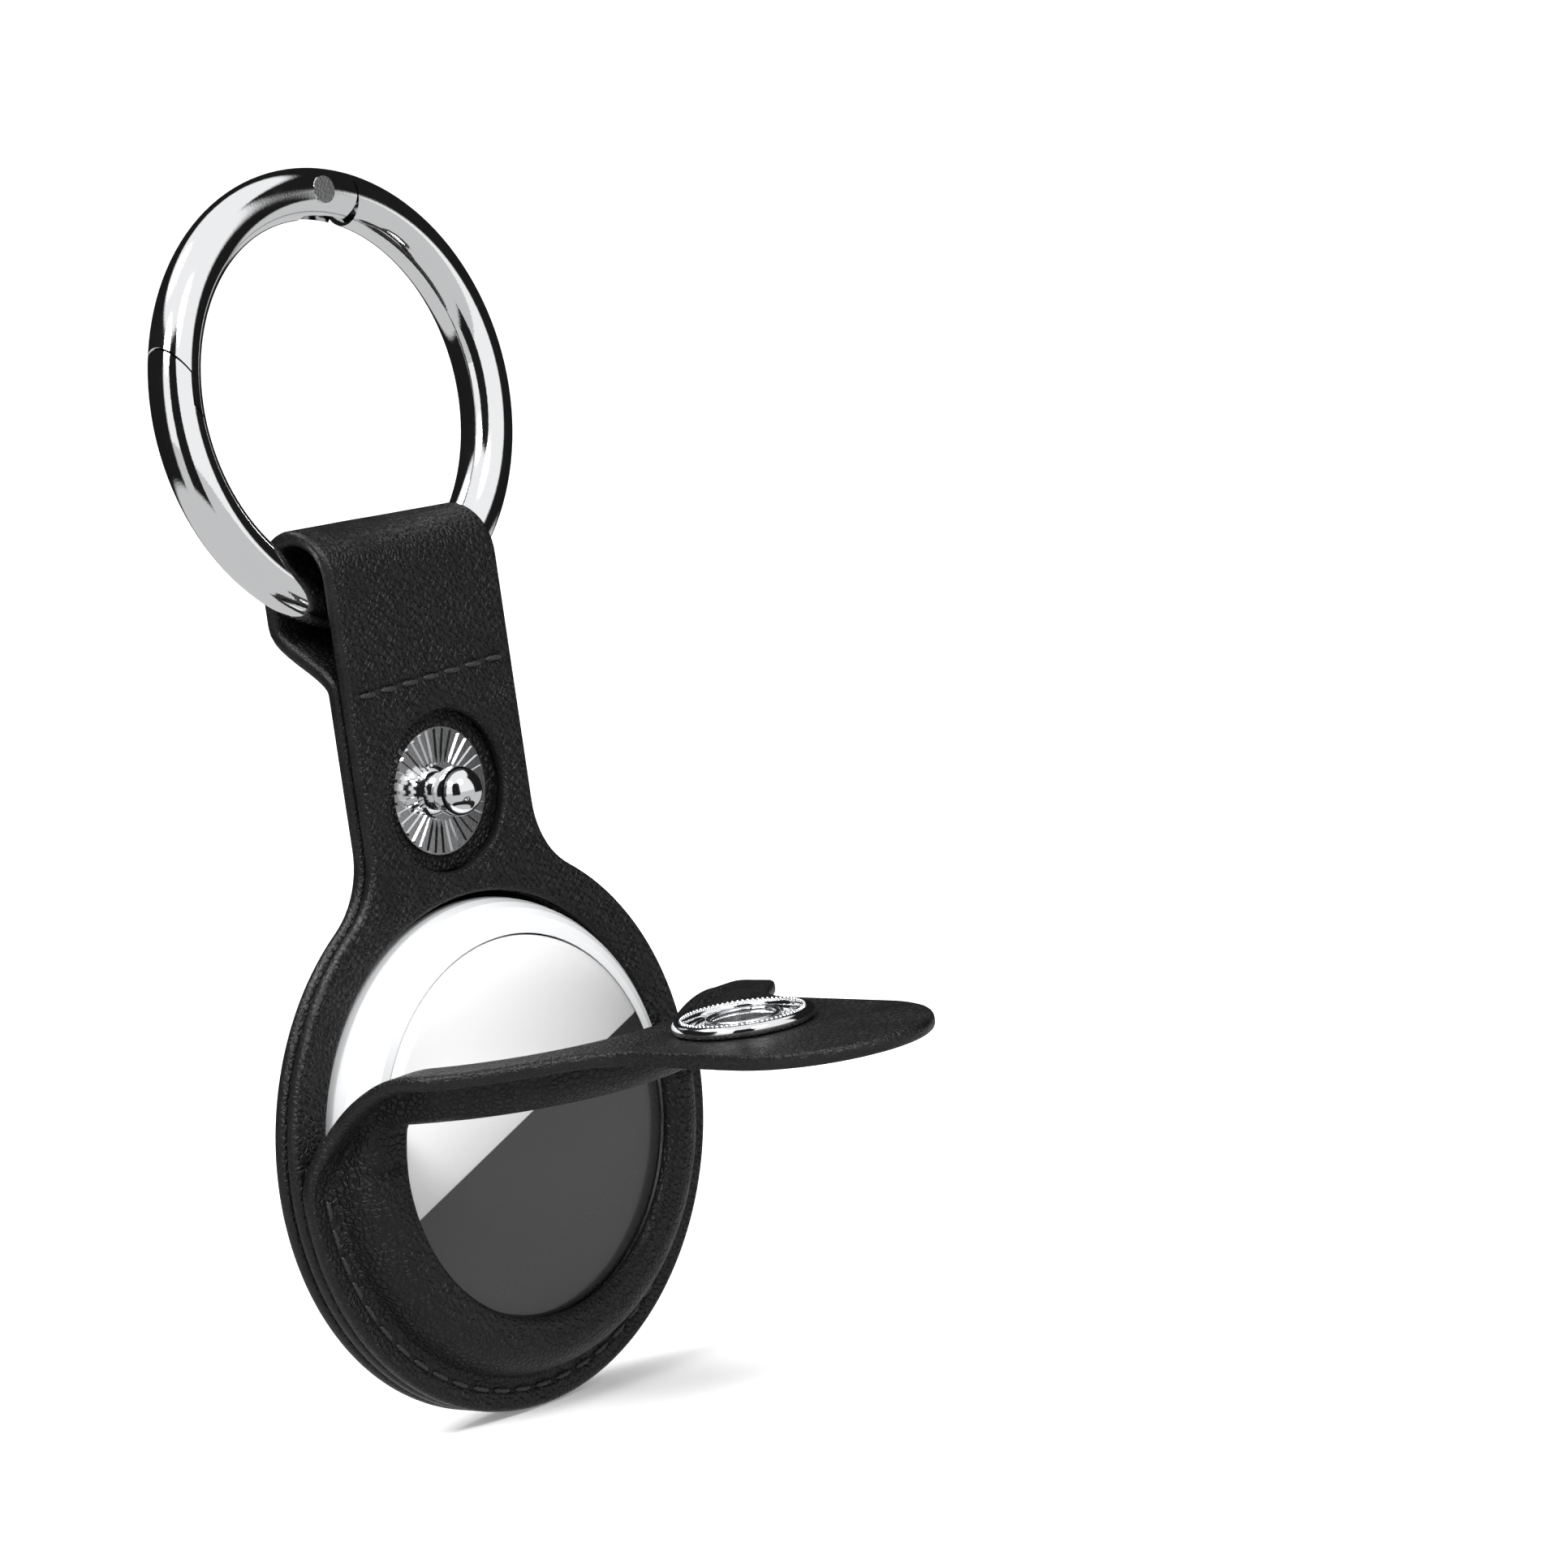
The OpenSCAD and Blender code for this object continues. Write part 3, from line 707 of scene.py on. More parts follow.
class Strap:
    """The strip that is folded over the ring: frame layer, loop and back layer with its crown.

    The strip is cut every GRID, every LOOP_GRID between the ends of the LOOP, which are told from
    the tag's centre in front and at the back, and at the SEAM_CUTS beside a seam. CROWN_OUT and
    CROWN_IN are the points (radius, depth) at which the crown's two faces meet at its seam.
    """

    GRID = 1.3
    LOOP_GRID = 0.42
    LOOP = 38, 30.5
    SEAM_CUTS = -0.7, -0.45, -0.25, -0.1, 0.1, 0.25, 0.45, 0.7
    CROWN_OUT = (17.66, 3.6), (17.76, 3.86), (17.86, 4.02), (17.95, 4.12), (17.98, 4.3)
    CROWN_IN = (17.98, 5.1), (17.9, 5.24), (17.7, 5.3)

    def __init__(self, size: LeatherSize, material: Material) -> None:
        self.size = size
        self.material = material
        self.path, self.lengths = self._side_path()
        self.back_s = self.lengths[-1]

    def _side_path(self) -> tuple[list[Point], list[float]]:
        """The strip's middle line seen from the side, from the tag's centre up and down again."""
        z = self.size
        half = z.thick / 2
        front, back = z.frame_back + half, z.back_rim + half
        radius = z.loop_r + half
        path: list[Point] = [(front, 0.0)]
        path += arc((z.loop_depth, z.loop_arc_z), (radius, radius), 0, 180, 28)
        hang = z.loop_depth - radius
        steps = 16
        for i in range(steps + 1):
            t = i / steps
            bulge = (1 + math.cos(math.pi * t)) / 2
            path.append((lerp(back, hang, bulge), lerp(z.loop_side_z, z.loop_foot_z, t)))
        path.append((back, 0.0))
        lengths = [0.0]
        for a, b in zip(path, path[1:]):
            lengths.append(lengths[-1] + math.dist(a, b))
        return path, lengths

    def fold(self, x: float, s: float, rise: float) -> Vector:
        """Puts a point of the flat strip on the folded strip.

        Args:
            x: Place across the strip.
            s: Length along it from the tag's centre in front.
            rise: Height over the middle line, outward.

        Returns:
            The point in the row frame.
        """
        last = len(self.path) - 1
        k = 0
        while k < last - 1 and self.lengths[k + 1] < s:
            k += 1
        span = self.lengths[k + 1] - self.lengths[k]
        t = (s - self.lengths[k]) / span
        (d0, z0), (d1, z1) = self.path[k], self.path[k + 1]
        way = Vector((d1 - d0, z1 - z0)).normalized()
        if 0 < k < last - 1:
            before = Vector((d0 - self.path[k - 1][0], z0 - self.path[k - 1][1])).normalized()
            after = Vector((self.path[k + 2][0] - d1, self.path[k + 2][1] - z1)).normalized()
            start, end = (before + way).normalized(), (way + after).normalized()
            way = start.lerp(end, clamp(t)).normalized()
        depth = lerp(d0, d1, t) + way.y * rise
        height = lerp(z0, z1, t) - way.x * rise
        height -= self.size.loop_skew * x * ease((height - self.size.seam_z) / 7)
        return row(x, depth, height)

    def _outline(self) -> Outline:
        """The strip's cut outline, flat."""
        z, top = self.size, self.back_s
        cx, cz = z.flare_centre
        a = math.degrees(z.flare_angle)
        half = arc((0, 0), (z.disc_r, z.disc_r), -90, a, 60)
        half += arc((cx, cz), (z.flare_r, z.flare_r), 180 + a, 180, 12)
        half += arc((cx, top - cz), (z.flare_r, z.flare_r), 180, 180 - a, 12)
        half += arc((0, top), (z.disc_r, z.disc_r), -a, 90, 60)
        return Outline(half + [(-x, s) for x, s in reversed(half[1:-1])], 560)

    def _surface(self, x: float, s: float, rise: float) -> float:
        """Height of the leather with its seam grooves and its soft unevenness."""
        z = self.size
        if abs(rise) < z.thick / 2 - 0.02:
            return rise
        outside = rise > 0
        change = 0.0
        for seam in (z.seam_z, self.back_s - z.seam_z):
            if abs(x) < z.strap_half - 0.6 and outside:
                change -= 0.16 * hump(s - seam, 0.3)
            change += 0.05 * hump(abs(s - seam) - 0.9, 0.5) * (1 if outside else 0)
        if outside:
            change += 0.07 * noise.noise(Vector((x, s, 3.0)) * 0.22)
            around = math.hypot(x, s - z.snap_z) - z.recess_r
            change -= 0.12 * hump(around, 0.9)
        return rise + change

    def build(self) -> list[Object]:
        """Builds the strip and the crown.

        Returns:
            The finished pieces, which ride on the holder.
        """
        z = self.size
        half = z.thick / 2
        shaper = Shaper("strap_leather")
        mesh = shaper.mesh
        rounding = self._rounding(half)
        section = [(e, -r) for e, r in rounding] + rounding[::-1]
        loops = [
            self._outline(),
            circle((0, 0), z.hole_r, 190),
            circle((0, z.snap_z), z.recess_r, 72),
            circle((0, self.back_s), z.seam_r, 210),
        ]
        for loop in loops:
            count = len(loop.points)

            def place(u: float, v: float, loop: Outline = loop, count: int = count) -> Vector:
                e, rise = section[round(v * (len(section) - 1))]
                x, s = loop.inset(round(u * count) % count, e)
                return Vector((x, s, rise))

            shaper.lattice(count, len(section) - 1, place)
        for level in (-half, half):
            rims = [e for e in mesh.edges if e.is_boundary]
            rims = [e for e in rims if all(abs(v.co.z - level) < 1e-4 for v in e.verts)]
            bmesh.ops.triangle_fill(mesh, edges=rims, use_beauty=True)
        self._cut(mesh)
        for vert in mesh.verts:
            x, s, rise = vert.co
            vert.co = self.fold(x, s, self._surface(x, s, rise))
        for face in mesh.faces:
            face.smooth = True
        strip = shaper.piece([self.material], Slot.LEATHER)
        self._mark_edges(strip)
        strip.modifiers.new("even shading", "WEIGHTED_NORMAL").keep_sharp = True
        crown = self._crown()
        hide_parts("strap")
        for piece in (strip, crown):
            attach(piece, Body.HOLDER.value)
        return [strip, crown]

    def _rounding(self, half: float) -> list[Point]:
        """Inset and height of the points of a rounded cut edge, from the face to the middle."""
        e = self.size.edge
        angles = [math.radians(a) for a in (90, 66, 44, 22, 0)]
        return [(e * (1 - math.cos(a)), half - e + e * math.sin(a)) for a in angles]

    def _cut(self, mesh: bmesh.types.BMesh) -> None:
        """Cuts the flat strip into small faces so that it can be folded."""
        z = self.size
        top = self.back_s
        low, high = self.LOOP[0], top - self.LOOP[1]
        lines = [self.GRID * i - z.disc_r for i in range(1, int((top + 2 * z.disc_r) / self.GRID))]
        lines = [s for s in lines if not low < s < high]
        lines += [low + self.LOOP_GRID * i for i in range(int((high - low) / self.LOOP_GRID) + 1)]
        for seam in (z.seam_z, top - z.seam_z):
            lines += [seam + d for d in self.SEAM_CUTS]
        cuts = [(Vector((0, s, 0)), Vector((0, 1, 0))) for s in sorted(lines)]
        cuts += [(Vector((x * self.GRID - z.disc_r, 0, 0)), Vector((1, 0, 0))) for x in range(1, 30)]
        for point, normal in cuts:
            geometry = mesh.verts[:] + mesh.edges[:] + mesh.faces[:]
            bmesh.ops.bisect_plane(mesh, geom=geometry, plane_co=point, plane_no=normal, dist=0.02)

    def _mark_edges(self, strip: Object) -> None:
        """Marks the rounded cut edges for the material."""
        z = self.size
        half = z.thick / 2
        values = []
        for vert in strip.data.vertices:
            depth = -vert.co.y / MM
            if vert.co.z / MM > z.loop_foot_z:
                values.append(clamp((abs(vert.co.x) / MM - z.strap_half + 0.45) / 0.3))
                continue
            middle = (z.frame_back if depth > z.frame_back - 0.05 else z.back_rim) + half
            values.append(clamp((half - 0.05 - abs(depth - middle)) / 0.2))
        strip.data.attributes["edge"].data.foreach_set("value", values)

    def _crown(self) -> Object:
        """The moulded crown at the back, which the tag sits in."""
        z = self.size
        reach = z.hole_r - z.dome_flat_r
        widest = z.hole_r + z.thick - z.dome_flat_r
        outer = arc((z.dome_flat_r, z.back_rim), (widest, z.back_rim), -90, -14, 22)
        inner = arc((z.dome_flat_r, z.back_rim + z.thick), (reach, z.back_rim), 0, -90, 16)
        profile = [(0.0, 0.0), (2.0, 0.0), (4.0, 0.0), *outer, *self.CROWN_OUT, *self.CROWN_IN, *inner]
        profile += [(3.0, z.thick), (0.0, z.thick)]
        shaper = Shaper("crown_leather")
        shaper.revolve(profile, 168)
        for vert in shaper.mesh.verts:
            if vert.co.length > 1 and -vert.co.y < 3.9:
                vert.co.y += 0.05 * noise.noise(vert.co * 0.2) - 0.03
        return shaper.piece([self.material], Slot.LEATHER)


class FrontLeather:
    """Front pocket, fold and flap as one piece of leather, cut closed and opened over its fold.

    The profile's points are numbered: LIP_INDEX and RIM_INDEX lie in the middle of the two cut
    edges, which fade over FADE points, and the outer face has FACES points. SEAM holds the radii
    across the rim's seam, CREASE those between which the crease lies, and FOOT the points of the
    wall's foot, as (distance past the wall, height over the flange).
    """

    LIP_INDEX = 5
    RIM_INDEX = 45
    FACES = 41
    FADE = 4
    SEAM = 17.7, 17.83, 17.93, 18.0, 18.07, 18.17, 18.3, 18.45
    CREASE = 13.2, 17.4
    FOOT = (0.03, 0.28), (0.15, 0.1), (0.33, 0.02)

    def __init__(self, size: LeatherSize, fold: FoldSize, material: Material) -> None:
        self.size = size
        self.fold = fold
        self.material = material

    def _outline(self, count: int) -> list[Point]:
        """The closed front's outline, with the tongue."""
        z = self.size
        cx, cz = z.flare_centre
        a = math.degrees(z.flare_angle)
        tip = z.tip_z - z.strap_half
        half = arc((0, 0), (z.disc_r, z.disc_r), -90, a, 80)
        half += arc((cx, cz), (z.flare_r, z.flare_r), 180 + a, 180, 12)
        half += arc((0, tip), (z.strap_half, z.strap_half), 0, 90, 24)
        return resample(half + [(-x, s) for x, s in reversed(half[1:-1])], count)

    def _profile(self, reach: float) -> list[Point]:
        """Closed section of the front leather as (radius, depth).

        Args:
            reach: Radius of the outline in this direction.

        Returns:
            Points from the window over the outer face to the rim and back inside.
        """
        z = self.size
        e = z.edge
        bead = z.thick / 2 + 0.08
        middle = (z.lip + z.lip_back) / 2
        points = arc((z.window_r + bead * 0.9, middle), (bead * 0.9, bead), 250, 90, 10)
        points += [(z.lip_flat_r - 0.35, z.lip)]
        points += arc((z.lip_flat_r, z.flange), (z.wall_r - z.lip_flat_r, z.lip - z.flange), 84, 14, 9)
        points += [(z.wall_r + r, z.flange + d) for r, d in self.FOOT]
        points += [(r, z.flange) for r in self.SEAM]
        inner_start = reach - e
        points += [(lerp(self.SEAM[-1], inner_start, (i / 9) ** 1.3), z.flange) for i in range(1, 10)]
        middle = (z.flange + z.frame_front) / 2
        half = z.thick / 2
        for a in (66, 44, 22, 0, -22, -44, -66, -90):
            c, s = math.cos(math.radians(a)), math.sin(math.radians(a))
            lift = (half - e) * (1 if a > 0 else -1 if a < 0 else 0)
            points.append((inner_start + e * c, middle + lift + e * s))
        points += [(lerp(inner_start, z.hole_r, i / 12), z.frame_front) for i in range(1, 12)]
        inside = z.hole_r - z.lip_flat_r + 0.39, z.lip_back - z.frame_front
        points += arc((z.lip_flat_r - 0.39, z.frame_front), inside, 0, 90, 8)
        points += [(13.45, z.lip_back)]
        return points

    def _dress(self, r: float, depth: float, angle: float, index: int) -> float:
        """Depth of a point of the closed leather with grooves and unevenness."""
        z, f = self.size, self.fold
        height = r * math.sin(math.radians(angle))
        depth += f.layer_gap * ease((height - f.low) / (f.high - f.low))
        if index >= self.FACES:
            return depth
        start, end = self.CREASE
        if 17.6 < r < 18.5 and angle <= 2:
            depth -= 0.2 * hump(r - z.seam_r, 0.16)
        if start < r < end:
            wander = 0.5 * noise.noise(Vector((angle * 0.03, 2.0, r * 0.5)))
            share = hump(height - 0.8 - wander, 0.3)
            depth -= f.crease * share * ease((r - start) / 0.6) * ease((end - r) / 0.8)
        if r > end:
            across = r * math.cos(math.radians(angle))
            depth += 0.05 * noise.noise(Vector((across, 9.0, height)) * 0.3)
        return depth

    def _flange_guide(self, t: float) -> tuple[Vector, Vector]:
        """Point and direction, each (depth, z), of the flange's middle at a share of the fold."""
        f, z = self.fold, self.size
        middle = (z.flange + z.frame_front) / 2
        first, last = Vector((middle, f.low)), Vector(f.opened(middle + f.layer_gap, f.high))
        handles = (first, first + Vector(f.leave), last - Vector(f.arrive), last)
        s = 1 - t
        spot, way = Vector((0.0, 0.0)), Vector((0.0, 0.0))
        for weight, handle in zip((s**3, 3 * s * s * t, 3 * s * t * t, t**3), handles):
            spot += handle * weight
        for weight, a, b in zip((s * s, 2 * s * t, t * t), handles, handles[1:]):
            way += (b - a) * weight
        return spot, way.normalized()

    def _lip_guide(self, t: float) -> Vector:
        """Point (depth, z) of the lip's face, which turns sharply at the corner of the window."""
        f, z = self.fold, self.size
        first, last = Vector((z.lip, f.low)), Vector(f.opened(z.lip + f.layer_gap, f.high))
        corner = Vector((z.lip + 0.15, last.y))
        soft = 0.09
        if t < f.corner - soft:
            return first.lerp(corner, t / f.corner)
        if t > f.corner + soft:
            return corner.lerp(last, (t - f.corner) / (1 - f.corner))
        a = first.lerp(corner, (f.corner - soft) / f.corner)
        b = corner.lerp(last, soft / (1 - f.corner))
        k = (t - f.corner + soft) / (2 * soft)
        return a.lerp(corner, k).lerp(corner.lerp(b, k), k)

    def _rest(self, point: Vector) -> Vector:
        """Where a closed point (x, depth, z) lies at rest, with the flap open.

        The flange is led along a cubic guide from the pocket to the open flap, the lip along a
        sharper one, and the wall lies between them.
        """
        f, z = self.fold, self.size
        if point.z <= f.low:
            return point
        t = (point.z - f.low) / (f.high - f.low)
        drawn = f.narrow * ease((point.z - f.low) / 4) * (1 - ease((point.z - 5) / 6))
        x = point.x - math.copysign(drawn * ease((abs(point.x) - 13.5) / 5), point.x)
        droop = f.droop * ease((point.x - 4) / 12) * ease(t * 2) * (1 - ease((point.z - 8) / 9))
        if t >= 1:
            depth, height = f.opened(point.y, point.z)
            return Vector((x, depth, height - droop))
        half = z.thick / 2
        off = point.y - (z.flange + z.frame_front) / 2 - f.layer_gap * ease(t)
        spot, way = self._flange_guide(t)
        near = min(off, half)
        place = spot + Vector((way.y, -way.x)) * near
        if off > half:
            reach = z.lip - z.flange
            place = place.lerp(self._lip_guide(t), (off - half) / reach)
        return Vector((x, place.x, place.y - droop))

    def build(self) -> Object:
        """Builds the leather open.

        Returns:
            The finished piece.
        """
        rays = self._outline(400)
        count = len(self._profile(20.0))
        shaper = Shaper("front_leather")
        sections = []
        for x, s in rays:
            reach = math.hypot(x, s)
            sections.append((x / reach, s / reach, self._profile(reach)))

        def place(u: float, v: float) -> Vector:
            cx, cz, section = sections[round(u * len(rays)) % len(rays)]
            index = round(v * count) % count
            r, depth = section[index]
            angle = math.degrees(math.asin(min(max(cz, -1), 1)))
            closed = Vector((r * cx, self._dress(r, depth, angle, index), r * cz))
            rest = self._rest(closed)
            return row(rest.x, rest.y, rest.z)

        def edge(u: float, v: float) -> float:
            index = round(v * count) % count
            bead = max(0.0, 1 - abs(index - self.LIP_INDEX) / self.FADE)
            rim = max(0.0, 1 - abs(index - self.RIM_INDEX) / self.FADE)
            return max(bead * 0.7, rim)

        shaper.lattice(len(rays), count, place, edge=edge)
        piece = shaper.piece([self.material], Slot.LEATHER)
        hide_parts("front_pocket", "flap_fold_band", "snap_flap")
        f = self.fold
        row(0, *f.start) * MM
        row(0, *f.end) * MM
        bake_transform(piece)
        return piece


class Stitching:
    """Rows of twisted stitches that dive into their holes."""

    def __init__(self, leather: LeatherSize, size: StitchSize, thread: Material, hole: Material) -> None:
        self.leather = leather
        self.size = size
        # hole is the near-black material of the discs at the needle holes, which are painted shade.
        self.materials = [thread, hole]

    def _stitch(self, shaper: Shaper, start: Vector, end: Vector, out: Vector) -> None:
        """Adds one twisted stitch between two holes, bowed outward."""
        z = self.size
        steps = 12
        path = []
        for i in range(steps + 1):
            t = i / steps
            rise = z.bow * math.sin(math.pi * t) ** 0.5 - z.dive
            path.append(start.lerp(end, t) + out * rise)

        def radius(angle: float, t: float) -> float:
            taper = math.sin(math.pi * clamp(t)) ** 0.25
            return z.thread_r * taper * (1 + z.ply * math.cos(2 * (angle - z.twist * t)))

        shaper.tube(path, radius, 10)

    def _seam(
        self, name: str, node: str, spots: Sequence[Point], face: float, slant: float = 0.0
    ) -> Object:
        """Builds a seam through both leather layers.

        Args:
            name: Name of the piece.
            node: The node that it replaces.
            spots: The holes, as (x, z).
            face: Depth of the leather's front face.
            slant: How much each stitch leans.

        Returns:
            The finished piece, which rides on the holder.
        """
        z = self.size
        shaper = Shaper(name)
        lean = Vector((0, 0, slant))
        for depth, side in ((face - z.sunk, -1.0), (self.leather.back_rim + z.sunk, 1.0)):
            out = Vector((0, side, 0))
            holes = [row(x, depth, height) for x, height in spots]
            for a, b in zip(holes, holes[1:]):
                way = (b - a).normalized() * z.gap
                self._stitch(shaper, a + way + lean, b - way - lean, out)
            # Near-black flattened discs at the holes are painted shade of the needle holes.
            shaper.beads([hole - out * 0.1 for hole in holes], z.hole_r, flat=0.5, material=1)
        piece = shaper.piece(self.materials, Slot.THREAD)
        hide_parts(node)
        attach(piece, Body.HOLDER.value)
        return piece

    def rim(self) -> Object:
        """Stitches round the lower half, front and back."""
        z, r = self.size, self.leather.seam_r
        turns = [math.radians(lerp(z.rim_start, z.rim_end, i / z.rim_count)) for i in range(z.rim_count + 1)]
        spots = [(r * math.cos(a), r * math.sin(a)) for a in turns]
        return self._seam("rim_threads", "rim_stitching", spots, self.leather.flange)

    def strap(self) -> Object:
        """Stitches across the strap under the ring, front and back."""
        z, leather = self.size, self.leather
        half = leather.strap_half - z.strap_inset
        spots = [(lerp(-half, half, i / z.strap_count), leather.seam_z) for i in range(z.strap_count + 1)]
        return self._seam("strap_threads", "strap_stitching", spots, leather.frame_front, slant=0.06)


class Snap:
    """Details of the snap on the flap: the domed cap and the beads on the socket's rim."""

    def __init__(self, leather: LeatherSize, fold: FoldSize, size: SnapSize, material: Material) -> None:
        self.leather = leather
        self.fold = fold
        self.size = size
        self.material = material

    def _finish(self, shaper: Shaper) -> Object:
        """Opens what was drawn round the depth axis, as on the closed flap, and puts it on the flap."""
        for vert in shaper.mesh.verts:
            x, y, z = vert.co
            vert.co = row(x, *self.fold.opened(-y, z + self.leather.snap_z))
        piece = shaper.piece([self.material], Slot.SNAP)
        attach(piece, Body.FLAP.value)
        return piece

    def cap(self) -> Object:
        """The cap's thin polished dome."""
        z = self.size
        base = self.leather.flange + self.fold.layer_gap
        outer = arc((0, base + z.cap_roll), (z.cap_r, z.cap_h - z.cap_roll), 0, 90, 20)
        inner = arc((0, base), (z.cap_r - z.cap_wall, z.cap_h - z.cap_wall), 90, 0, 16)
        roll = arc((z.cap_r - z.cap_roll, base + z.cap_roll), (z.cap_roll, z.cap_roll), -90, -15, 5)
        shaper = Shaper("domed_cap")
        shaper.revolve([*roll, *outer, *inner], 112)
        piece = self._finish(shaper)
        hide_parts("snap_cap")
        return piece

    def beads(self) -> Object:
        """The row of beads on the socket's rolled rim."""
        z = self.size
        ring = arc((0, 0), (z.bead_row_r, z.bead_row_r), 0, 360, z.beads)[:-1]
        shaper = Shaper("socket_beads")
        shaper.beads([row(x, z.bead_depth, height) for x, height in ring], z.bead_r)
        return self._finish(shaper)


class Fittings:
    """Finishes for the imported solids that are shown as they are."""

    def __init__(self, finishes: dict[str, Material]) -> None:
        self.finishes = finishes

    def dress(self) -> None:
        """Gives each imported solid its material."""
        for name, material in self.finishes.items():
            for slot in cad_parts[name].material_slots:
                slot.material = material
            LOG.info("%s: %s", name, material.name)


@dataclass(frozen=True)
class Lamp:
    """A soft round light. Its place, the point that it faces and its width are in metres."""

    name: str
    spot: tuple[float, float, float]
    aim_z: float
    width: float
    power: float

    def hang(self, scene: bpy.types.Scene) -> None:
        """Adds the light to the scene."""
        data = bpy.data.lights.new(self.name, "AREA")
        data.shape, data.size, data.energy = "DISK", self.width, self.power
        light = bpy.data.objects.new(self.name, data)
        spot = Vector(self.spot)
        light.location = spot
        light.rotation_euler = (Vector((0, 0, self.aim_z)) - spot).to_track_quat("-Z", "Y").to_euler()
        scene.collection.objects.link(light)


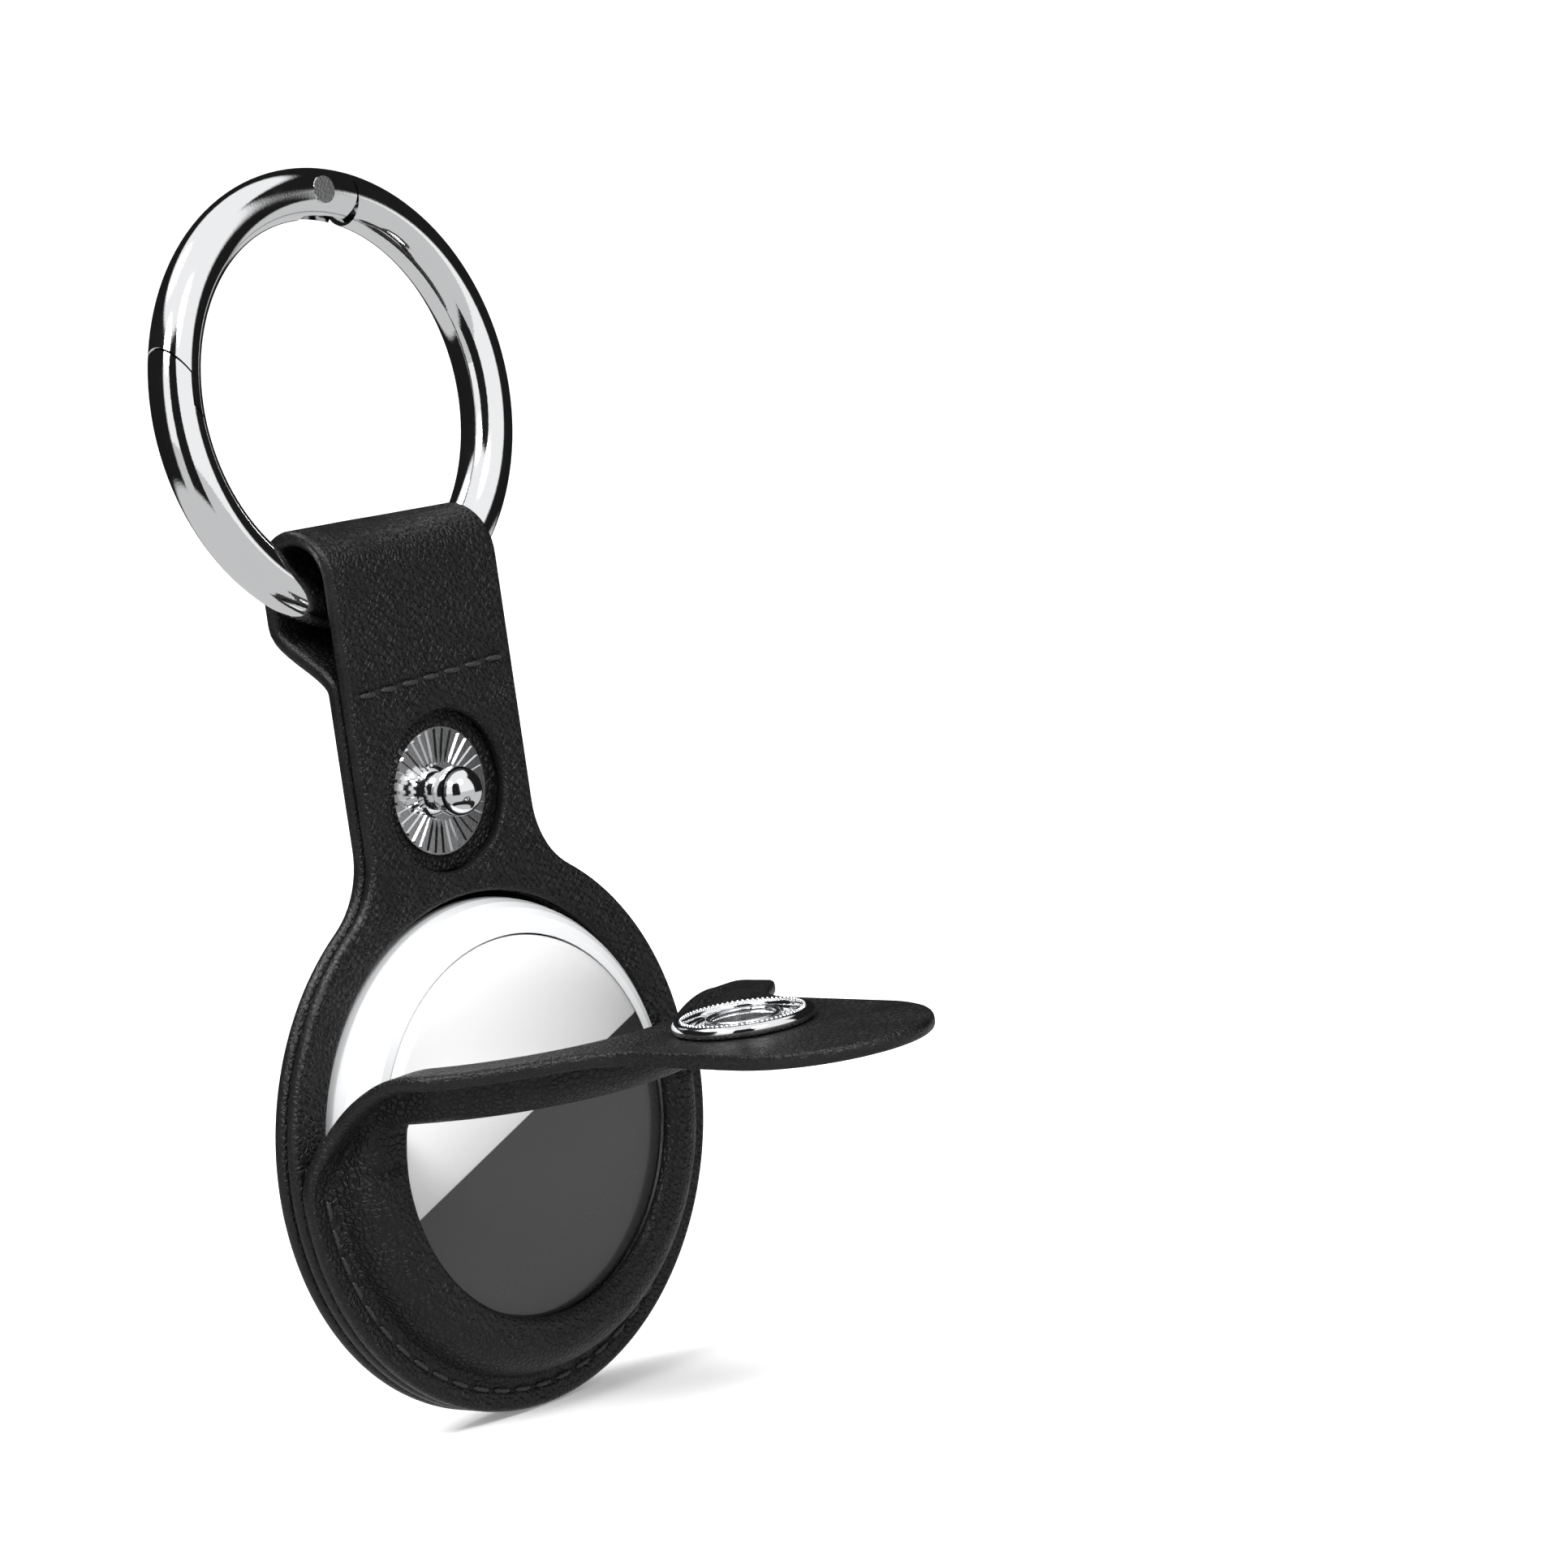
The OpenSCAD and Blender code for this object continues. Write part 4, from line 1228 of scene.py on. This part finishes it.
class Studio:
    """Camera, floor and light.

    The camera's TURN, LIFT and ROLL are in degrees and its AIM, right and up of the tag's middle
    at TAG_DEPTH, and DISTANCE in millimetres. SCALE is in pixels per millimetre. The floor lies
    FLOOR_DROP metres under the tag's centre, and reflections see it from FLOOR_EYE metres. Each of
    the CARDS has the angles and the heights between which it is dark, each with a softness.
    """

    TURN, LIFT, ROLL = 46, 9.5, -8.2
    AIM = 19.6, 23.7
    TAG_DEPTH = 6.2
    DISTANCE = 700.0
    SCALE = 17.9
    FLOOR_DROP = 0.0196
    FLOOR_EYE = -0.075
    CARDS = (
        ((-0.84, 3.05, 0.07), (-0.36, 0.72, 0.04)),
        ((-2.72, -2.1, 0.03), (-0.3, 0.7, 0.04)),
    )
    LAMPS = (
        Lamp("key", (-0.16, -0.55, 0.62), 0.01, 0.3, 5.0),
        Lamp("fill", (-0.5, -0.1, 0.5), 0.01, 0.3, 2.0),
        Lamp("rim", (-0.22, 0.3, 0.75), 0.02, 0.35, 4.0),
    )

    def __init__(self) -> None:
        self.scene = bpy.context.scene

    def camera(self) -> None:
        """Puts the camera at the photograph's angle."""
        turn, lift, roll = (math.radians(a) for a in (self.TURN, self.LIFT, self.ROLL))
        right = Vector((math.cos(turn), -math.sin(turn), 0))
        look = Vector((math.sin(turn) * math.cos(lift), math.cos(turn) * math.cos(lift), -math.sin(lift)))
        up = right.cross(look)
        right2 = right * math.cos(roll) + up * math.sin(roll)
        up2 = up * math.cos(roll) - right * math.sin(roll)
        spot = Vector((0, -self.TAG_DEPTH, 0)) + right2 * self.AIM[0] + up2 * self.AIM[1]
        spot -= look * self.DISTANCE
        data = bpy.data.cameras.new("camera")
        data.sensor_width = 36.0
        data.lens = data.sensor_width * self.SCALE * self.DISTANCE / FRAME_PIXELS
        data.clip_start, data.clip_end = 0.05, 20.0
        camera = bpy.data.objects.new("camera", data)
        self.scene.collection.objects.link(camera)
        turned = Matrix((right2, up2, -look)).transposed().to_4x4()
        camera.matrix_world = Matrix.Translation(spot * MM) @ turned
        self.scene.camera = camera

    def _dark(self, g: Graph, x: Socket, y: Socket, height: Socket) -> Socket:
        """Share of darkness that reflections see towards (x, y) at a height of -1 to 1.

        The back half of the room is dark up to the soft ceiling, and so is a strip behind the camera.
        """
        around = g.math("ARCTAN2", y, x)
        back, strip = (g.times(g.band(around, *turn), g.band(height, *rise)) for turn, rise in self.CARDS)
        return g.math("MAXIMUM", back, strip)

    def floor(self) -> None:
        """Lays a plain pale floor under the holder, on which reflections see the room's dark side."""
        mesh = bmesh.new()
        matrix = Matrix.Translation((0, 0, -self.FLOOR_DROP))
        bmesh.ops.create_grid(mesh, x_segments=2, y_segments=2, size=6.0, matrix=matrix)
        data = bpy.data.meshes.new("floor")
        mesh.to_mesh(data)
        mesh.free()
        floor = bpy.data.objects.new("floor", data)
        self.scene.collection.objects.link(floor)
        g = Surface("pale floor")
        g.feed(g.shader, Base_Color=grey(0.93), Roughness=0.9)
        g.feed(g.shader, Emission_Color=grey(1.0), Emission_Strength=0.2)
        x, y, _ = g.split(g.place())
        away = g.math("SQRT", g.math("ADD", g.times(x, x), g.times(y, y)))
        height = g.math("SINE", g.math("ARCTAN2", self.FLOOR_EYE, away))
        glow = g.add("Emission")
        g.feed(glow, Color=g.blend(self._dark(g, x, y, height), grey(0.62), grey(0.012)))
        g.link(g.mix(g.glossy(), g.shader.outputs[0], glow.outputs[0]), g.output.inputs[0])
        data.materials.append(g.material)

    def light(self) -> None:
        """Lights the studio softly, with dark cards that only reflections see."""
        for lamp in self.LAMPS:
            lamp.hang(self.scene)
        world = bpy.data.worlds.new("studio")
        self.scene.world = world
        world.use_nodes = True
        g = Graph(world.node_tree)
        way = g.add("TexCoord").outputs["Generated"]
        level = g.blend(self._dark(g, *g.split(way)), grey(1.0), grey(0.012))
        plain = g.feed(g.add("Background"), i0=grey(1.0), i1=0.8)
        cards = g.feed(g.add("Background"), i0=level)
        output = g.add("OutputWorld")
        g.link(g.mix(g.glossy(), plain.outputs[0], cards.outputs[0]), output.inputs[0])
        self.scene.view_settings.view_transform = "Standard"


def main() -> None:
    """Builds the whole scene."""
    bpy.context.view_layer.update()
    size, fold = LeatherSize(), FoldSize()
    leather = Leather("black leather").make()
    thread = Thread("black thread").make()
    # Near-black material for the painted shade in the needle holes.
    hole = Plastic("needle hole painted shade", (0.002, 0.002, 0.002), rough=0.9).make()
    chrome = Metal("ring chrome").make()
    snap = Metal("snap chrome", tone=(0.84, 0.845, 0.86), rough=0.06).make()
    steel = Metal("pin steel", tone=(0.68, 0.69, 0.71), rough=0.14).make()
    spring = Metal("spring steel", tone=(0.55, 0.56, 0.58), rough=0.22).make()
    white = Plastic("white plastic", (0.74, 0.75, 0.76), rough=0.22, coat=0.6).make()
    dark = Plastic("dark plastic", (0.02, 0.02, 0.022), rough=0.5).make()
    Strap(size, leather).build()
    FrontLeather(size, fold, leather).build()
    stitching = Stitching(size, StitchSize(), thread, hole)
    stitching.rim()
    stitching.strap()
    fastener = Snap(size, fold, SnapSize(), snap)
    fastener.cap()
    fastener.beads()
    Fittings({
        "ring_body": chrome,
        "ring_gate": chrome,
        "gate_pin": chrome,
        "gate_plunger": steel,
        "gate_spring": spring,
        "cap_post": snap,
        "snap_socket": snap,
        "socket_spring": spring,
        "snap_stud": snap,
        "stud_rivet": snap,
        "tag_shell": white,
        # The tag's cover carries a painted reflection of a light room and a dark card in its base colour.
        "tag_cover": PaintedReflection("painted reflection steel", (0.46, 1.17), 21.1).make(),
        "tag_seal": Plastic("seal rubber", (0.03, 0.03, 0.03), rough=0.7).make(),
        "tag_cell": Metal("cell steel", tone=(0.7, 0.71, 0.72), rough=0.25).make(),
        "tag_contacts": Metal("contact brass", tone=(0.8, 0.6, 0.25), rough=0.2).make(),
        "tag_board": Plastic("board green", (0.01, 0.09, 0.03), rough=0.45).make(),
        "tag_tray": dark,
        "tag_coil": Metal("coil copper", tone=(0.7, 0.36, 0.17), rough=0.3).make(),
        "tag_magnet": Metal("magnet grey", tone=(0.3, 0.3, 0.31), rough=0.35).make(),
    }).dress()
    studio = Studio()
    studio.camera()
    studio.floor()
    studio.light()


if __name__ == "__main__":
    main()
